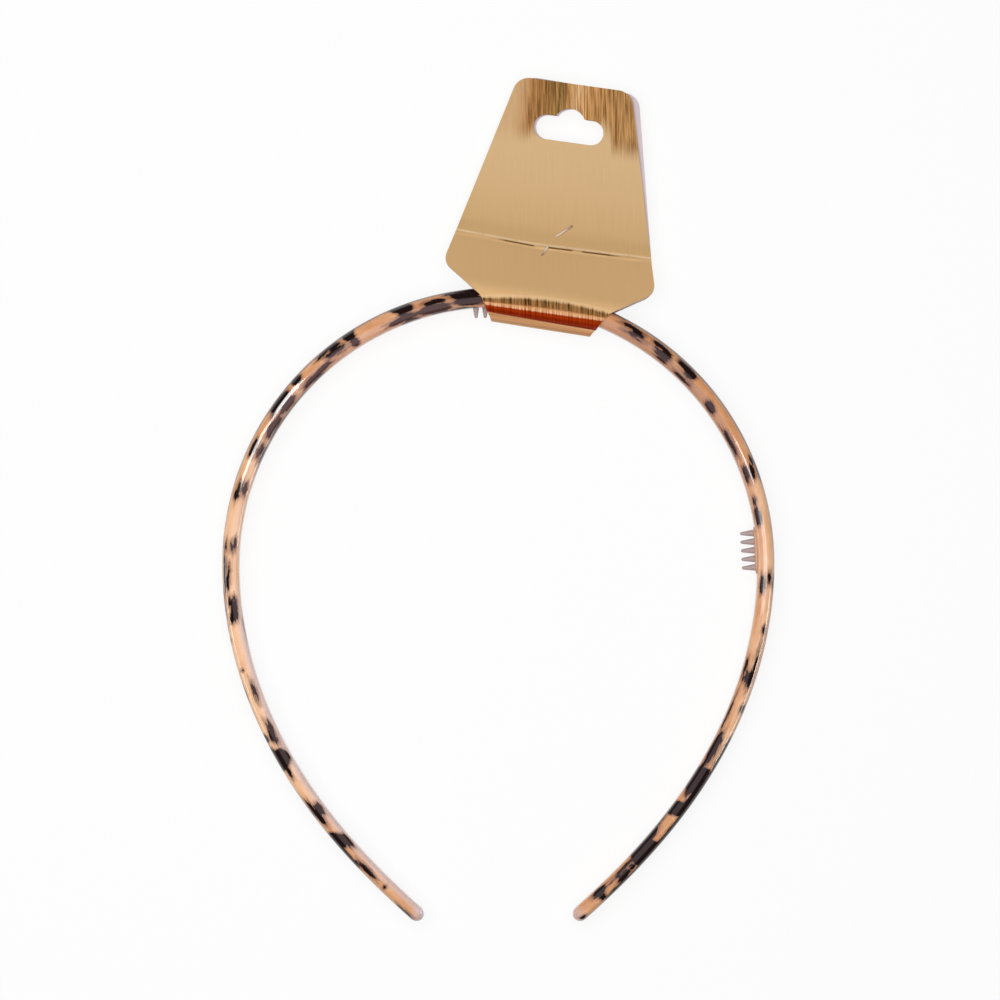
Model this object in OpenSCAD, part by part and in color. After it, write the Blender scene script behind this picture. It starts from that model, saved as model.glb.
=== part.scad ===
/* [Band] */
// Radius of the crown's half circle, at the outside of the band
crown_radius = 72.4; // [64:0.1:82]
// Thickness of the band at the crown, seen from the side
crown_thick = 5.2; // [4.4:0.1:7]
// Thickness of the band at its tips
tip_thick = 4; // [2.8:0.1:5]
// Depth of the band at the crown, front edge to back edge
crown_depth = 8; // [6:0.1:11]
// Depth of the band at its tips
tip_depth = 6; // [4:0.1:8]
// Length of each arm, from the end of the half circle to the tip
arm_length = 111; // [80:0.5:130]
// Angle that each arm turns in by
arm_turn = 48.3; // [25:0.1:56]
// How early each arm does its turning: 1 is evenly, 2 is mostly near the crown
arm_ease = 1.42; // [1:0.02:2.5]
// Length over which each tip rounds off
tip_round = 2.2; // [1:0.1:4]
// Squareness of the inner half of the section: 2 is an ellipse, 4 a flat face with soft edges
inner_square = 4; // [2.5:0.1:6]
// Squareness of the outer half of the section
outer_square = 2.4; // [2:0.1:4]

/* [Comb strips] */
// Number of teeth on each strip
teeth = 5; // [3:1:7]
// Distance from tooth to tooth on the crown strip
crown_pitch = 2.4; // [2:0.05:3.2]
// Distance from tooth to tooth on the side strip
side_pitch = 2.25; // [2:0.05:3.2]
// Length of a tooth, from the bar
tooth_length = 3.3; // [1.8:0.1:4]
// Width of a tooth at its root
tooth_root = 1.7; // [1:0.05:1.9]
// Width of a tooth at its round tip
tooth_tip = 0.9; // [0.5:0.05:1]
// Thickness of the bar that joins the teeth
bar_thick = 1.2; // [0.9:0.05:1.6]
// Depth of the bar, front edge to back edge
bar_depth = 3.6; // [2.4:0.1:4.4]
// Length of bar past each end tooth
bar_end = 0.8; // [0.4:0.1:2]
// Depth of the crown strip's seat in the band, at its middle
crown_seat = 2; // [0.8:0.05:2.4]
// Depth of the side strip's seat in the band, at its middle
side_seat = 0.7; // [0.2:0.05:1.1]
// Angle of the crown strip, clockwise from the top of the crown
crown_comb_angle = -0.9; // [-10:0.1:10]
// Angle of the side strip, clockwise from the top of the crown
side_comb_angle = 87; // [60:0.1:90]

/* [Hang card] */
// Thickness of the card
card_thick = 0.35; // [0.2:0.05:0.6]
// Angle of the card round the crown, clockwise from the top
card_angle = 10.25; // [-30:0.25:30]
// Angle that the card hangs askew by, off square to the crown
card_lean = 1.4; // [0:0.1:2]
// Angle between the fold and a square fold, which splays the two leaves
fold_skew = 0.9; // [0:0.1:2.5]
// Length of the fold
fold_width = 25.9; // [20:0.1:30]
// How far the wall between the lip at the fold and the level top leans over the band
wall_lean = 0.65; // [0.4:0.05:0.8]
// Width of the card where it leaves the band
neck_width = 34; // [31:0.1:38]
// Distance of that width from the fold
neck_up = 6.4; // [4:0.1:8]
// Width of the card at its shoulders
shoulder_width = 55.6; // [45:0.1:65]
// Distance of the shoulders from the fold
shoulder_up = 13.5; // [11:0.1:17]
// Width of the card along its top edge
top_width = 29.9; // [25:0.1:40]
// Distance of the top edge from the fold
card_length = 64.8; // [60:0.1:80]
// Radius of the shoulders' round corners
shoulder_round = 3.6; // [1:0.1:5]
// Radius of the top's round corners
top_round = 4.2; // [1:0.1:6]
// Distance from the fold to the crease where the leaves come together
pinch_up = 21.3; // [18.5:0.1:26]
// Share of the band's thickness that the loop runs level over, before it comes down to the crease
loop_level = 0.75; // [0.6:0.05:0.9]
// Gap between the leaves at that crease
pinch_gap = 0.1; // [0.05:0.05:0.4]
// Gap between the leaves at the top edge
top_gap = 0.6; // [0.1:0.1:2]
// Length of the hang slot
slot_width = 18.4; // [14:0.1:24]
// Height of the hang slot at its ends
slot_height = 6.4; // [5:0.1:8]
// Radius of the round seat in the middle of the slot
slot_seat = 4.25; // [3:0.05:5]
// Height of that round seat's centre above the middle of the slot
slot_seat_up = 1.3; // [0.5:0.1:2]
// Distance from the fold to the middle of the slot
slot_up = 52.7; // [44:0.1:53]

/* [Staple] */
// Diameter of the wire
wire = 0.5; // [0.3:0.05:0.7]
// Distance between the legs
staple_width = 11.2; // [8:0.1:13]
// Length of leg that is clinched over the front leaf
clinch = 4.4; // [2:0.1:5]
// Angle of the staple, from the direction of the fold
staple_angle = 53; // [0:1:80]
// Distance from the fold to the middle of the staple
staple_up = 23.5; // [21.5:0.1:36]
// Distance from the middle line of the card to the middle of the staple, to the right
staple_over = 0.6; // [-5:0.1:5]

/* [Clearances] */
// Gap between the band and the loop of card round it
loop_gap = 0.3; // [0.2:0.05:0.6]
// Gap between the teeth and the fold that passes over them
tooth_gap = 0.25; // [0.2:0.05:0.6]
// Gap between a bar's edge and its seat
seat_gap = 0.05; // [0.02:0.01:0.15]
// Gap between the wire and the card
wire_gap = 0.04; // [0.02:0.01:0.1]

/* [Hidden] */
$fn = 48;
// Points round the band's section, and rings along one half of the band
section_points = 24;
body_rings = 50;
// Points in each rounded corner of an outline
corner_points = 8;
// Length that cutting shapes run past what they cut
past = 1;

// Band: the outer edge of one half, from the top of the crown to one tip
crown_half = crown_radius * PI / 2;
half_length = crown_half + arm_length;
straight_half = half_length - tip_round;
// Angles of the rings round the tip
tip_angles = [20, 40, 60, 80];
stations = concat(
    [for (i = [0:body_rings]) straight_half * i / body_rings],
    [for (a = tip_angles) straight_half + tip_round * sin(a)]
);
last_station = len(stations) - 1;

function mix(a, b, t) = a + (b - a) * t;
function ease(t) = t * t * (3 - 2 * t);
function band_thick(s) = mix(crown_thick, tip_thick, ease(s / half_length));
function band_depth(s) = mix(crown_depth, tip_depth, ease(s / half_length));
// How much of the full section is left at a station in the round tip
function tip_share(s) = s <= straight_half ? 1 : sqrt(1 - pow((s - straight_half) / tip_round, 2));
// Direction of the band at a station, in degrees clockwise from +X
function heading(s) =
    s <= crown_half
        ? s / crown_radius * 180 / PI
        : 90 + arm_turn * (1 - pow(1 - (s - crown_half) / arm_length, arm_ease));
function along(h) = [cos(h), -sin(h)];
function outward(h) = [sin(h), cos(h)];

half_path = [
    for (
        i = 0, p = [0, crown_radius];
        i <= last_station;
        p = i < last_station
            ? p + (stations[i + 1] - stations[i]) * along(heading((stations[i] + stations[i + 1]) / 2))
            : p,
        i = i + 1
    ) p
];

// Point of the unit section: inner half squarer than the outer half
function squared(c, n) = sign(c) * pow(abs(c), 2 / n);
function section_point(j) =
    let (a = 360 * j / section_points, n = cos(a) < 0 ? inner_square : outer_square)
    [squared(cos(a), n), squared(sin(a), n)];

// Ring of the band at station i, on the right half (side 1) or the left half (side -1)
function band_ring(i, side) =
    let (s = stations[i], out = outward(heading(s)), k = tip_share(s) / 2)
    [
        for (j = [0:section_points - 1])
        let (
            q = section_point(j),
            p = half_path[i] + out * (band_thick(s) * (q[0] * k - 0.5))
        )
        [side * p[0], p[1], q[1] * band_depth(s) * k]
    ];

// Comb strips
function bar_length(pitch) = (teeth - 1) * pitch + tooth_root + 2 * bar_end;
function inner_radius(angle) = crown_radius - band_thick(crown_radius * abs(angle) * PI / 180);

// Card: the fold passes inside the crown strip's teeth, also where they stand at its two ends
bar_radius = inner_radius(crown_comb_angle) + crown_seat - bar_thick;
tip_radius = bar_radius - tooth_length;
lean_drop = fold_width / 2 * sin(card_lean);
fold_radius = sqrt(pow(tip_radius, 2) - pow(fold_width / 2, 2)) - lean_drop - tooth_gap - card_thick;

// Distance from the fold to the inside of the band, where the sides of the card cross it
cross_half = (fold_width + neck_width) / 4;
cross_up = sqrt(pow(inner_radius(0), 2) - pow(cross_half, 2)) - cross_half * sin(card_lean) - fold_radius;

// Side view of the front leaf, [distance from the fold, height over the middle, corner radius]:
// over the teeth along the lip, up and over the band, down to the crease, then flat to the top edge
card_half = card_thick / 2;
nose_height = tooth_root / 2 + tooth_gap + card_half;
loop_height = crown_depth / 2 + loop_gap + card_half;
pinch_height = (pinch_gap + card_thick) / 2;
top_height = (top_gap + card_thick) / 2;
lip = cross_up - loop_gap - card_thick;
loop_start = lip + wall_lean;
loop_end = crown_radius - (1 - loop_level) * crown_thick - fold_radius;
card_tall = 2 * (loop_height + card_thick + past);
// Bend radii: at the fold as a share of its height, at the lip, at the band's edges, and at the crease
nose_share = 0.7;
lip_round = 0.6;
loop_round = 1.1;
pinch_round = 6;
leaf_corners = [
    [card_half, 0, 0],
    [card_half, nose_height, nose_share * nose_height],
    [lip, nose_height, lip_round],
    [loop_start, loop_height, loop_round],
    [loop_end, loop_height, loop_round],
    [pinch_up, pinch_height, pinch_round],
    [card_length + past, top_height, 0]
];

// Height of the front leaf's middle over the card's middle, beyond the loop
function leaf_height(v) =
    v < pinch_up
        ? mix(loop_height, pinch_height, (v - loop_end) / (pinch_up - loop_end))
        : mix(pinch_height, top_height, (v - pinch_up) / (card_length - pinch_up));

// Outline of one leaf, [across, distance from the fold, corner radius], right side then left side
leaf_side = [
    [fold_width / 2, -neck_up, 0],
    [fold_width / 2, 0, 0],
    [neck_width / 2, neck_up, 0],
    [shoulder_width / 2, shoulder_up, shoulder_round],
    [top_width / 2, card_length, top_round]
];
leaf_outline = concat(
    leaf_side,
    [for (i = [len(leaf_side) - 1:-1:0]) [-leaf_side[i][0], leaf_side[i][1], leaf_side[i][2]]]
);

function unit(a) = a / norm(a);
function flat(p) = [p[0], p[1]];
function turned(p, a) = [p[0] * cos(a) - p[1] * sin(a), p[0] * sin(a) + p[1] * cos(a)];

// Arc that rounds corner c between its neighbours a and b
function corner(a, c, b) =
    let (
        to_a = unit(flat(a) - flat(c)),
        to_b = unit(flat(b) - flat(c)),
        half = acos(to_a * to_b) / 2,
        centre = flat(c) + unit(to_a + to_b) * c[2] / sin(half),
        start = flat(c) + to_a * c[2] / tan(half) - centre,
        turn = sign(to_a[1] * to_b[0] - to_a[0] * to_b[1]) * (180 - 2 * half)
    )
    [for (k = [0:corner_points]) centre + turned(start, turn * k / corner_points)];

// Points of a path or outline whose corners carry a radius as their third number
function rounded(path) =
    let (n = len(path))
    [
        for (i = [0:n - 1])
        each path[i][2] == 0 ? [flat(path[i])] : corner(path[(i + n - 1) % n], path[i], path[(i + 1) % n])
    ];

// Direction of a path at point i, and the outline of a strip of width w along it
function path_turn(path, i) = unit(path[min(i + 1, len(path) - 1)] - path[max(i - 1, 0)]);
function strip(path, w) = concat(
    [for (i = [0:len(path) - 1]) path[i] + turned(path_turn(path, i), 90) * w / 2],
    [for (i = [len(path) - 1:-1:0]) path[i] + turned(path_turn(path, i), -90) * w / 2]
);

// Staple: its side view, [distance along it, height, bend radius], crown behind and legs in front
wire_sides = 12;
// Bend radius of the wire's middle, as a share of its diameter
bend_share = 0.6;
bend = bend_share * wire;
staple_half = staple_width / 2;
staple_along = [cos(staple_angle), sin(staple_angle)];
staple_across = [-sin(staple_angle), cos(staple_angle)];
function on_staple(d) = [staple_over, staple_up] + staple_along * d;
function wire_height(d) = leaf_height(on_staple(d)[1]) + card_half + wire / 2 + wire_gap;
staple_corners = [
    [clinch - staple_half, wire_height(clinch - staple_half), 0],
    [-staple_half, wire_height(-staple_half), bend],
    [-staple_half, -wire_height(-staple_half), bend],
    [staple_half, -wire_height(staple_half), bend],
    [staple_half, wire_height(staple_half), bend],
    [staple_half - clinch, wire_height(staple_half - clinch), 0]
];
function wire_ring(path, i) =
    [
        for (k = [0:wire_sides - 1])
        let (
            a = 360 * k / wire_sides,
            q = path[i] + turned(path_turn(path, i), 90) * cos(a) * wire / 2,
            p = on_staple(q[0]) + staple_across * sin(a) * wire / 2
        )
        [p[0], p[1], q[1]]
    ];

// Closed skin over a row of rings
module skin(rings) {
    n = len(rings[0]);
    m = len(rings);
    walls = [
        for (i = [0:m - 2], j = [0:n - 1])
        let (a = i * n + j, b = i * n + (j + 1) % n)
        each [[a, a + n, b], [b, a + n, b + n]]
    ];
    first = [[for (j = [0:n - 1]) j]];
    last = [[for (j = [n - 1:-1:0]) (m - 1) * n + j]];
    polyhedron([for (ring = rings) each ring], concat(walls, first, last));
}

// Moves a strip's own frame (back face at zero, teeth upwards) to its angle on the band
module on_band(angle, seat) {
    rotate([0, 0, -angle]) translate([0, inner_radius(angle) + seat, 0]) rotate([90, 0, 0]) children();
}

// Outline of the bar, grown by a gap
module bar_outline(pitch, gap) {
    straight = bar_length(pitch) - bar_depth;
    square([straight, bar_depth + 2 * gap], center = true);
    for (side = [-1, 1]) translate([side * straight / 2, 0]) circle(d = bar_depth + 2 * gap);
}

module comb_seat(angle, seat, pitch) {
    on_band(angle, seat) linear_extrude(crown_thick) bar_outline(pitch, seat_gap);
}

module comb_strip(angle, seat, pitch) {
    on_band(angle, seat) {
        linear_extrude(bar_thick) bar_outline(pitch, 0);
        for (i = [0:teeth - 1]) translate([(i - (teeth - 1) / 2) * pitch, 0, 0]) tooth();
    }
}

module tooth() {
    cone = tooth_length - tooth_tip / 2;
    translate([0, 0, bar_thick]) cylinder(h = cone, d1 = tooth_root, d2 = tooth_tip);
    translate([0, 0, bar_thick + cone]) sphere(d = tooth_tip);
}

// Moves the card's own frame (fold along X, top towards +Y) to its place round the crown
module on_crown() {
    rotate([0, 0, -card_angle]) translate([0, fold_radius, 0]) rotate([0, 0, card_lean]) children();
}

// Hang slot, punched through both leaves at once, square to the front one
module hang_slot() {
    end = (slot_width - slot_height) / 2;
    rotate([0, 0, fold_skew]) translate([0, slot_up, 0]) linear_extrude(card_tall, center = true) {
        square([2 * end, slot_height], center = true);
        for (side = [-1, 1]) translate([side * end, 0]) circle(d = slot_height);
        translate([0, slot_seat_up]) circle(r = slot_seat);
    }
}

// One leaf of the card, in front (side 1) or behind (side -1)
module leaf(side) {
    mirror([0, 0, side < 0 ? 1 : 0]) intersection() {
        rotate([90, 0, 90])
            linear_extrude(shoulder_width + 2 * past, center = true)
                polygon(strip(rounded(leaf_corners), card_thick));
        rotate([0, 0, side * fold_skew])
            linear_extrude(card_tall, center = true) polygon(rounded(leaf_outline));
    }
}

// Hole for each leg of the staple, through both leaves
module leg_holes() {
    for (d = [-staple_half, staple_half])
        translate(on_staple(d)) cylinder(h = card_tall, d = wire + 2 * wire_gap, center = true);
}

module band() {
    left = [for (i = [last_station:-1:1]) band_ring(i, -1)];
    right = [for (i = [0:last_station]) band_ring(i, 1)];
    color("peachpuff") difference() {
        skin(concat(left, right));
        comb_seat(crown_comb_angle, crown_seat, crown_pitch);
        comb_seat(side_comb_angle, side_seat, side_pitch);
    }
}

module crown_comb() {
    color("mistyrose") comb_strip(crown_comb_angle, crown_seat, crown_pitch);
}

module side_comb() {
    color("mistyrose") comb_strip(side_comb_angle, side_seat, side_pitch);
}

module hang_card() {
    color("burlywood") on_crown() difference() {
        union() {
            leaf(1);
            leaf(-1);
        }
        hang_slot();
        leg_holes();
    }
}

module staple() {
    path = rounded(staple_corners);
    color("silver") on_crown() skin([for (i = [0:len(path) - 1]) wire_ring(path, i)]);
}

band();
crown_comb();
side_comb();
hang_card();
staple();
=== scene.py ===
"""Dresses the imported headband: a printed plastic band, two clear comb strips, a gold hang card, its staple."""

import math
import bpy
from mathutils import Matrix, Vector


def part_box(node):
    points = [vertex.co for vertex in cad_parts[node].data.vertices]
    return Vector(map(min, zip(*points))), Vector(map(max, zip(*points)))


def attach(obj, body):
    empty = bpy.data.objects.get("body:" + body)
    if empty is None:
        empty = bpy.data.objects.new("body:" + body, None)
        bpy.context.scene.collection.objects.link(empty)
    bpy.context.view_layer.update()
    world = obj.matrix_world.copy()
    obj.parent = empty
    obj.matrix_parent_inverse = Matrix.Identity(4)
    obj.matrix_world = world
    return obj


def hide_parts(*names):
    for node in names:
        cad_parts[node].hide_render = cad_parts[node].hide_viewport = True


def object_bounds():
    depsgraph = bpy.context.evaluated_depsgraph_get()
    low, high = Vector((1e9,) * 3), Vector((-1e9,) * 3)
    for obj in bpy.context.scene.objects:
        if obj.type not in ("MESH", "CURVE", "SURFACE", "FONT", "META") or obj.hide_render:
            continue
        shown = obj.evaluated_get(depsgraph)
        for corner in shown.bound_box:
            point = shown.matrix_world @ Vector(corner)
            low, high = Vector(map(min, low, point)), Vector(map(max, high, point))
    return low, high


bl_info = {
    "name": "Headband",
    "version": (1, 0, 0),
    "blender": (4, 5, 0),
    "location": "View3D > Sidebar > Headband",
    "description": "Builds the printed band, comb strips, hang card, staple and stage of a headband",
    "category": "Add Mesh",
}

import bpy
import numpy as np
from bpy.props import FloatProperty, FloatVectorProperty, IntProperty, PointerProperty
from bpy.types import Operator, Panel, PropertyGroup
from mathutils import Matrix, Vector, noise

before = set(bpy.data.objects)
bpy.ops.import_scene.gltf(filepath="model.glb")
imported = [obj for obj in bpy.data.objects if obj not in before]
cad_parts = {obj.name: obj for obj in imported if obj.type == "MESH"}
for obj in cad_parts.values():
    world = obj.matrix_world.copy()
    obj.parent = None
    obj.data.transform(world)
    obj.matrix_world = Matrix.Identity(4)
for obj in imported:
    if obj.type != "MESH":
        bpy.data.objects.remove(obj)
cad_low, cad_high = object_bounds()
MM = 0.001
UP = Vector((0, 0, 1))
MATH, RANGE, MIX = "ShaderNodeMath", "ShaderNodeMapRange", "ShaderNodeMix"
# Depth in millimetres of a point that is well outside every blotch.
OUTSIDE = -3.0
# Length of the card's nose, where the fold runs round.
NOSE = 0.9 * MM
# The card's crease is lowest this far left of the middle, and rises by this share to both sides.
CREASE_LOW, CREASE_RISE = 4.8 * MM, 0.031

# Blotches of the print on each arm, seen from above, in millimetres: distance along the outer edge from the
# top of the crown, distance in from the outer edge, half length, half width, and how far it leans along per
# millimetre inwards where it leans.
LEFT_BLOTCHES = (
    (8.7, 1.5, 4.2, 1.1), (7.6, 3.2, 4.4, 1.0), (12.5, 0.7, 1.5, 0.35), (16.5, 0, 8.5, 0.1),
    (17.5, 2.0, 2.4, 0.5), (17.5, 3.3, 3.2, 0.7), (21.0, 3.4, 1.5, 0.3), (17.6, 4.0, 4.2, 0.6),
    (16.5, 4.7, 2.0, 0.4), (25.0, 4.7, 2.5, 0.5), (10.0, 5.0, 3.5, 0.15), (25.5, 0, 5.5, 0.25),
    (26.4, 1.3, 2.6, 1.2, -0.6), (26.0, 3.0, 1.2, 0.5), (27.0, 3.8, 3.5, 0.5), (41.5, 0, 3.5, 0.25),
    (42.0, 1.2, 1.7, 1.2), (41.5, 3.4, 1.0, 1.0), (49.0, 0.8, 2.8, 0.35, 1.2), (46.5, 0, 2.5, 0.2),
    (47.0, 1.2, 1.3, 0.4), (47.5, 2.3, 2.5, 0.6), (46.0, 3.0, 1.5, 0.3), (53.0, 3.8, 2.2, 0.4),
    (55.5, 4.6, 1.5, 0.3), (60.3, 1.1, 1.4, 0.8), (67.5, 1.3, 3.3, 0.9), (70.5, 1.9, 1.2, 0.25),
    (67.0, 3.3, 2.8, 0.8), (57.0, 3.9, 3.0, 0.6), (74.0, 3.6, 3.0, 0.9), (73.0, 4.9, 17.0, 0.2),
    (81.5, 1.6, 2.0, 0.6), (81.5, 3.5, 1.4, 0.4), (82.0, 4.3, 2.0, 0.25), (90.0, 0, 2.0, 0.15),
    (93.2, 1.9, 1.2, 0.3), (95.3, 1.8, 0.5, 0.4), (94.8, 1.3, 0.9, 0.25, 0.8), (93.0, 3.2, 1.5, 0.5),
    (107.5, 0, 3.0, 0.1), (109.2, 0.9, 0.8, 0.12), (108.3, 3.3, 0.9, 0.05), (109.4, 2.6, 0.7, 0.04, 0.8),
    (116.7, 0.9, 2.6, 0.06), (118.5, 1.3, 1.2, 0.4), (115.8, 1.9, 1.2, 0.1), (121.2, 0, 0.8, 0.2),
    (124.5, 0.2, 2.5, 0.1), (126.0, 2.6, 2.8, 0.75), (124.0, 1.7, 0.8, 0.25), (128.3, 1.6, 0.9, 0.35),
    (130.5, 0, 1.5, 0.15), (134.0, 0, 0.8, 0.15), (132.0, 4.4, 4.0, 0.06), (142.4, 1.2, 0.2, 0.1),
    (148.5, 0.1, 2.5, 0.2), (148.8, 2.6, 1.9, 0.35), (160.5, 2.6, 2.6, 0.5), (161.5, 2.1, 1.2, 0.4),
    (161.5, 0.4, 1.0, 0.3), (165.5, 0.4, 1.2, 0.35), (168.2, 1.7, 2.7, 1.6, -0.3), (168.0, 2.9, 1.5, 0.6),
    (171.8, 1.5, 1.3, 0.3), (185.0, 1.1, 3.0, 0.45, 1.5), (187.0, 1.6, 1.4, 0.3), (185.0, 0, 2.4, 0.2),
    (185.0, 2.5, 1.5, 0.6), (194.2, 1.4, 2.3, 1.2, 0.5), (195.8, 2.8, 1.9, 0.8, 0.6), (198.5, 0.45, 4.5, 0.4),
    (205.2, 1.5, 2.6, 0.4), (211.7, 1.6, 0.12, 0.1), (219.8, 0.5, 1.8, 0.25),
)
RIGHT_BLOTCHES = (
    (4.0, 2.9, 2.6, 0.8), (12.0, 1.4, 3.2, 1.0), (14.5, 3.6, 2.2, 0.6), (22.0, 2.1, 2.6, 0.9),
    (27.0, 1.3, 1.6, 0.4), (37.5, 1.4, 2.6, 0.35), (39.9, 2.0, 1.3, 0.5), (39.0, 2.9, 2.2, 0.4),
    (47.0, 0, 2.5, 0.08), (46.5, 1.4, 2.0, 0.5), (49.0, 2.2, 1.3, 0.7), (48.0, 3.1, 2.0, 0.7),
    (49.0, 3.9, 1.2, 0.4), (55.5, 1.3, 2.5, 0.6), (57.3, 1.8, 1.6, 1.1), (56.5, 4.2, 2.0, 0.3),
    (67.3, 0, 1.8, 0.12), (67.6, 3.5, 1.7, 0.9, 0.4), (79.5, 0, 3.5, 0.08), (79.0, 3.9, 3.3, 0.45),
    (88.5, 0.3, 2.5, 0.2), (85.5, 0.9, 0.8, 0.3), (88.7, 1.8, 1.6, 0.4, 0.8), (88.6, 3.6, 1.6, 0.4),
    (100.5, 3.4, 2.2, 0.7), (96.7, 3.5, 0.8, 0.3), (101.0, 0, 2.0, 0.1), (118.5, 0.2, 2.5, 0.2),
    (117.3, 1.4, 1.1, 0.3), (119.3, 3.1, 2.1, 0.5), (131.3, 1.3, 0.7, 0.3), (141.0, 1.4, 2.6, 0.18),
    (144.9, 1.6, 1.9, 0.5), (144.6, 2.2, 1.3, 0.4), (144.5, 3.0, 1.0, 0.15), (142.5, 3.8, 1.3, 0.15),
    (153.5, 0, 0.8, 0.15), (153.0, 0.9, 0.8, 0.3), (156.0, 3.9, 3.0, 0.1), (166.0, 3.1, 4.6, 0.8),
    (171.0, 3.4, 2.0, 0.3), (166.5, 0.45, 5.0, 0.4), (175.4, 2.0, 3.9, 2.4), (181.0, 1.0, 3.6, 0.9),
    (184.8, 2.4, 2.0, 2.2, 0.3), (179.0, 3.0, 1.0, 0.4), (199.0, 1.9, 3.9, 2.5), (195.4, 3.4, 3.2, 0.6),
    (205.0, 0.4, 3.0, 0.2), (207.5, 1.4, 1.7, 0.5), (204.0, 1.6, 0.6, 0.3), (206.0, 1.7, 0.6, 0.3),
    (206.0, 2.9, 2.5, 0.15), (215.0, 3.0, 1.9, 0.8), (215.2, 1.5, 0.8, 0.6), (222.6, 0.9, 0.6, 0.35),
    (190.5, 0.5, 6.5, 0.4), (191.0, 4.0, 5.0, 0.2), (209.5, 0.4, 6.0, 0.4),
)


def linear(colour):
    """Linear red, green and blue of an sRGB hex colour."""
    srgb = [int(colour[i : i + 2], 16) / 255 for i in (1, 3, 5)]
    return tuple(c / 12.92 if c <= 0.04045 else ((c + 0.055) / 1.055) ** 2.4 for c in srgb)


def length(label, mm, text):
    """A length that a user may change, given in millimetres."""
    return FloatProperty(name=label, description=text, default=mm * MM, subtype="DISTANCE", unit="LENGTH")


def tint(label, colour, text):
    """A colour that a user may change, given as sRGB hex."""
    return FloatVectorProperty(name=label, description=text, default=linear(colour), subtype="COLOR", size=3)


def degrees(label, angle, text):
    """An angle that a user may change, given in degrees."""
    turn = math.radians(angle)
    return FloatProperty(name=label, description=text, default=turn, subtype="ANGLE", unit="ROTATION")


def share(label, value, text):
    """A share that a user may change."""
    return FloatProperty(name=label, description=text, default=value, subtype="FACTOR", soft_min=0, soft_max=1)


def number(label, value, text):
    """A plain number that a user may change."""
    return FloatProperty(name=label, description=text, default=value, subtype="UNSIGNED")


class HeadbandBand(PropertyGroup):
    """Sizes and colours of the band."""

    crown_radius: length("Crown radius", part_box("band")[1].y / MM, "Radius of the crown's half circle, outside")
    crown_thick: length("Crown thickness", 5.2, "Thickness at the crown, seen from the side")
    tip_thick: length("Tip thickness", 4, "Thickness at the tips")
    crown_depth: length("Crown depth", 2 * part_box("band")[1].z / MM, "Depth at the crown, front to back")
    tip_depth: length("Tip depth", 6, "Depth at the tips")
    arm_length: length("Arm length", 111, "Length of each arm after the half circle")
    arm_turn: degrees("Arm turn", 48.3, "Angle that each arm turns in by")
    arm_ease: number("Arm ease", 1.42, "How early each arm does its turning")
    tip_round: length("Tip round", 2.2, "Length over which each tip rounds off")
    inner_square: number("Inner squareness", 4, "Squareness of the section inside")
    outer_square: number("Outer squareness", 2.4, "Squareness of the section outside")
    cream: tint("Ground", "#FFCDA2", "Peach ground of the print")
    # Partly the print's deeper ground and partly painted shade, deepest at the crown and the tips.
    tan: tint("Ground, deep", "#DC9B69", "Deeper ground towards the crown and the tips")
    # Painted reflection of the pale surroundings over the inner half; it also pales the tips.
    veil: tint("Veil", "#E2D6DC", "Pale cast over the ground in the inner half")
    # Also the colour of the card's painted shadow on the right arm.
    smoke: tint("Halo", "#7C564A", "Smoky edge round each blotch")
    blotch: tint("Blotch", "#1C0A08", "Dark brown of the blotches")
    # The blotches under the painted reflection in the inner half.
    sheened: tint("Blotch, faded", "#5A3E3B", "Dark brown of the blotches in the inner half")
    # The brown along the outer edge is partly the print and partly painted shade, strongest at the crown.
    rim: tint("Rim", "#2E160E", "Brown along the outer edge")


class HeadbandCombs(PropertyGroup):
    """Sizes and colour of the comb strips."""

    teeth: IntProperty(name="Teeth", description="Teeth on each strip", default=5, min=1, subtype="UNSIGNED")
    crown_pitch: length("Crown pitch", 2.4, "Distance from tooth to tooth on the crown strip")
    side_pitch: length("Side pitch", 2.25, "Distance from tooth to tooth on the side strip")
    tooth_length: length("Tooth length", 3.6, "Length of a tooth from the bar")
    tooth_root: length("Tooth root", 1.8, "Width of a tooth at its root")
    tooth_tip: length("Tooth tip", 0.9, "Width of a tooth at its tip")
    bar_thick: length("Bar thickness", 1.2, "Thickness of the bar")
    bar_depth: length("Bar depth", 3.6, "Depth of the bar, front to back")
    bar_end: length("Bar end", 0.8, "Length of bar past each end tooth")
    crown_seat: length("Crown seat", 2, "Depth of the crown strip's seat in the band")
    side_seat: length("Side seat", 0.7, "Depth of the side strip's seat in the band")
    crown_angle: degrees("Crown strip angle", -0.9, "Angle of the crown strip, clockwise from the top")
    side_angle: degrees("Side strip angle", 87, "Angle of the side strip, clockwise from the top")
    clear: tint("Plastic", "#CDB9B7", "Greyish pink of the cloudy plastic")
    # Painted glow of the band seen in the side strip's clear bar.
    band_glow_tint: tint("Plastic by the band", "#E6B593", "Peach that the band lends the side strip's bar")


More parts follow.
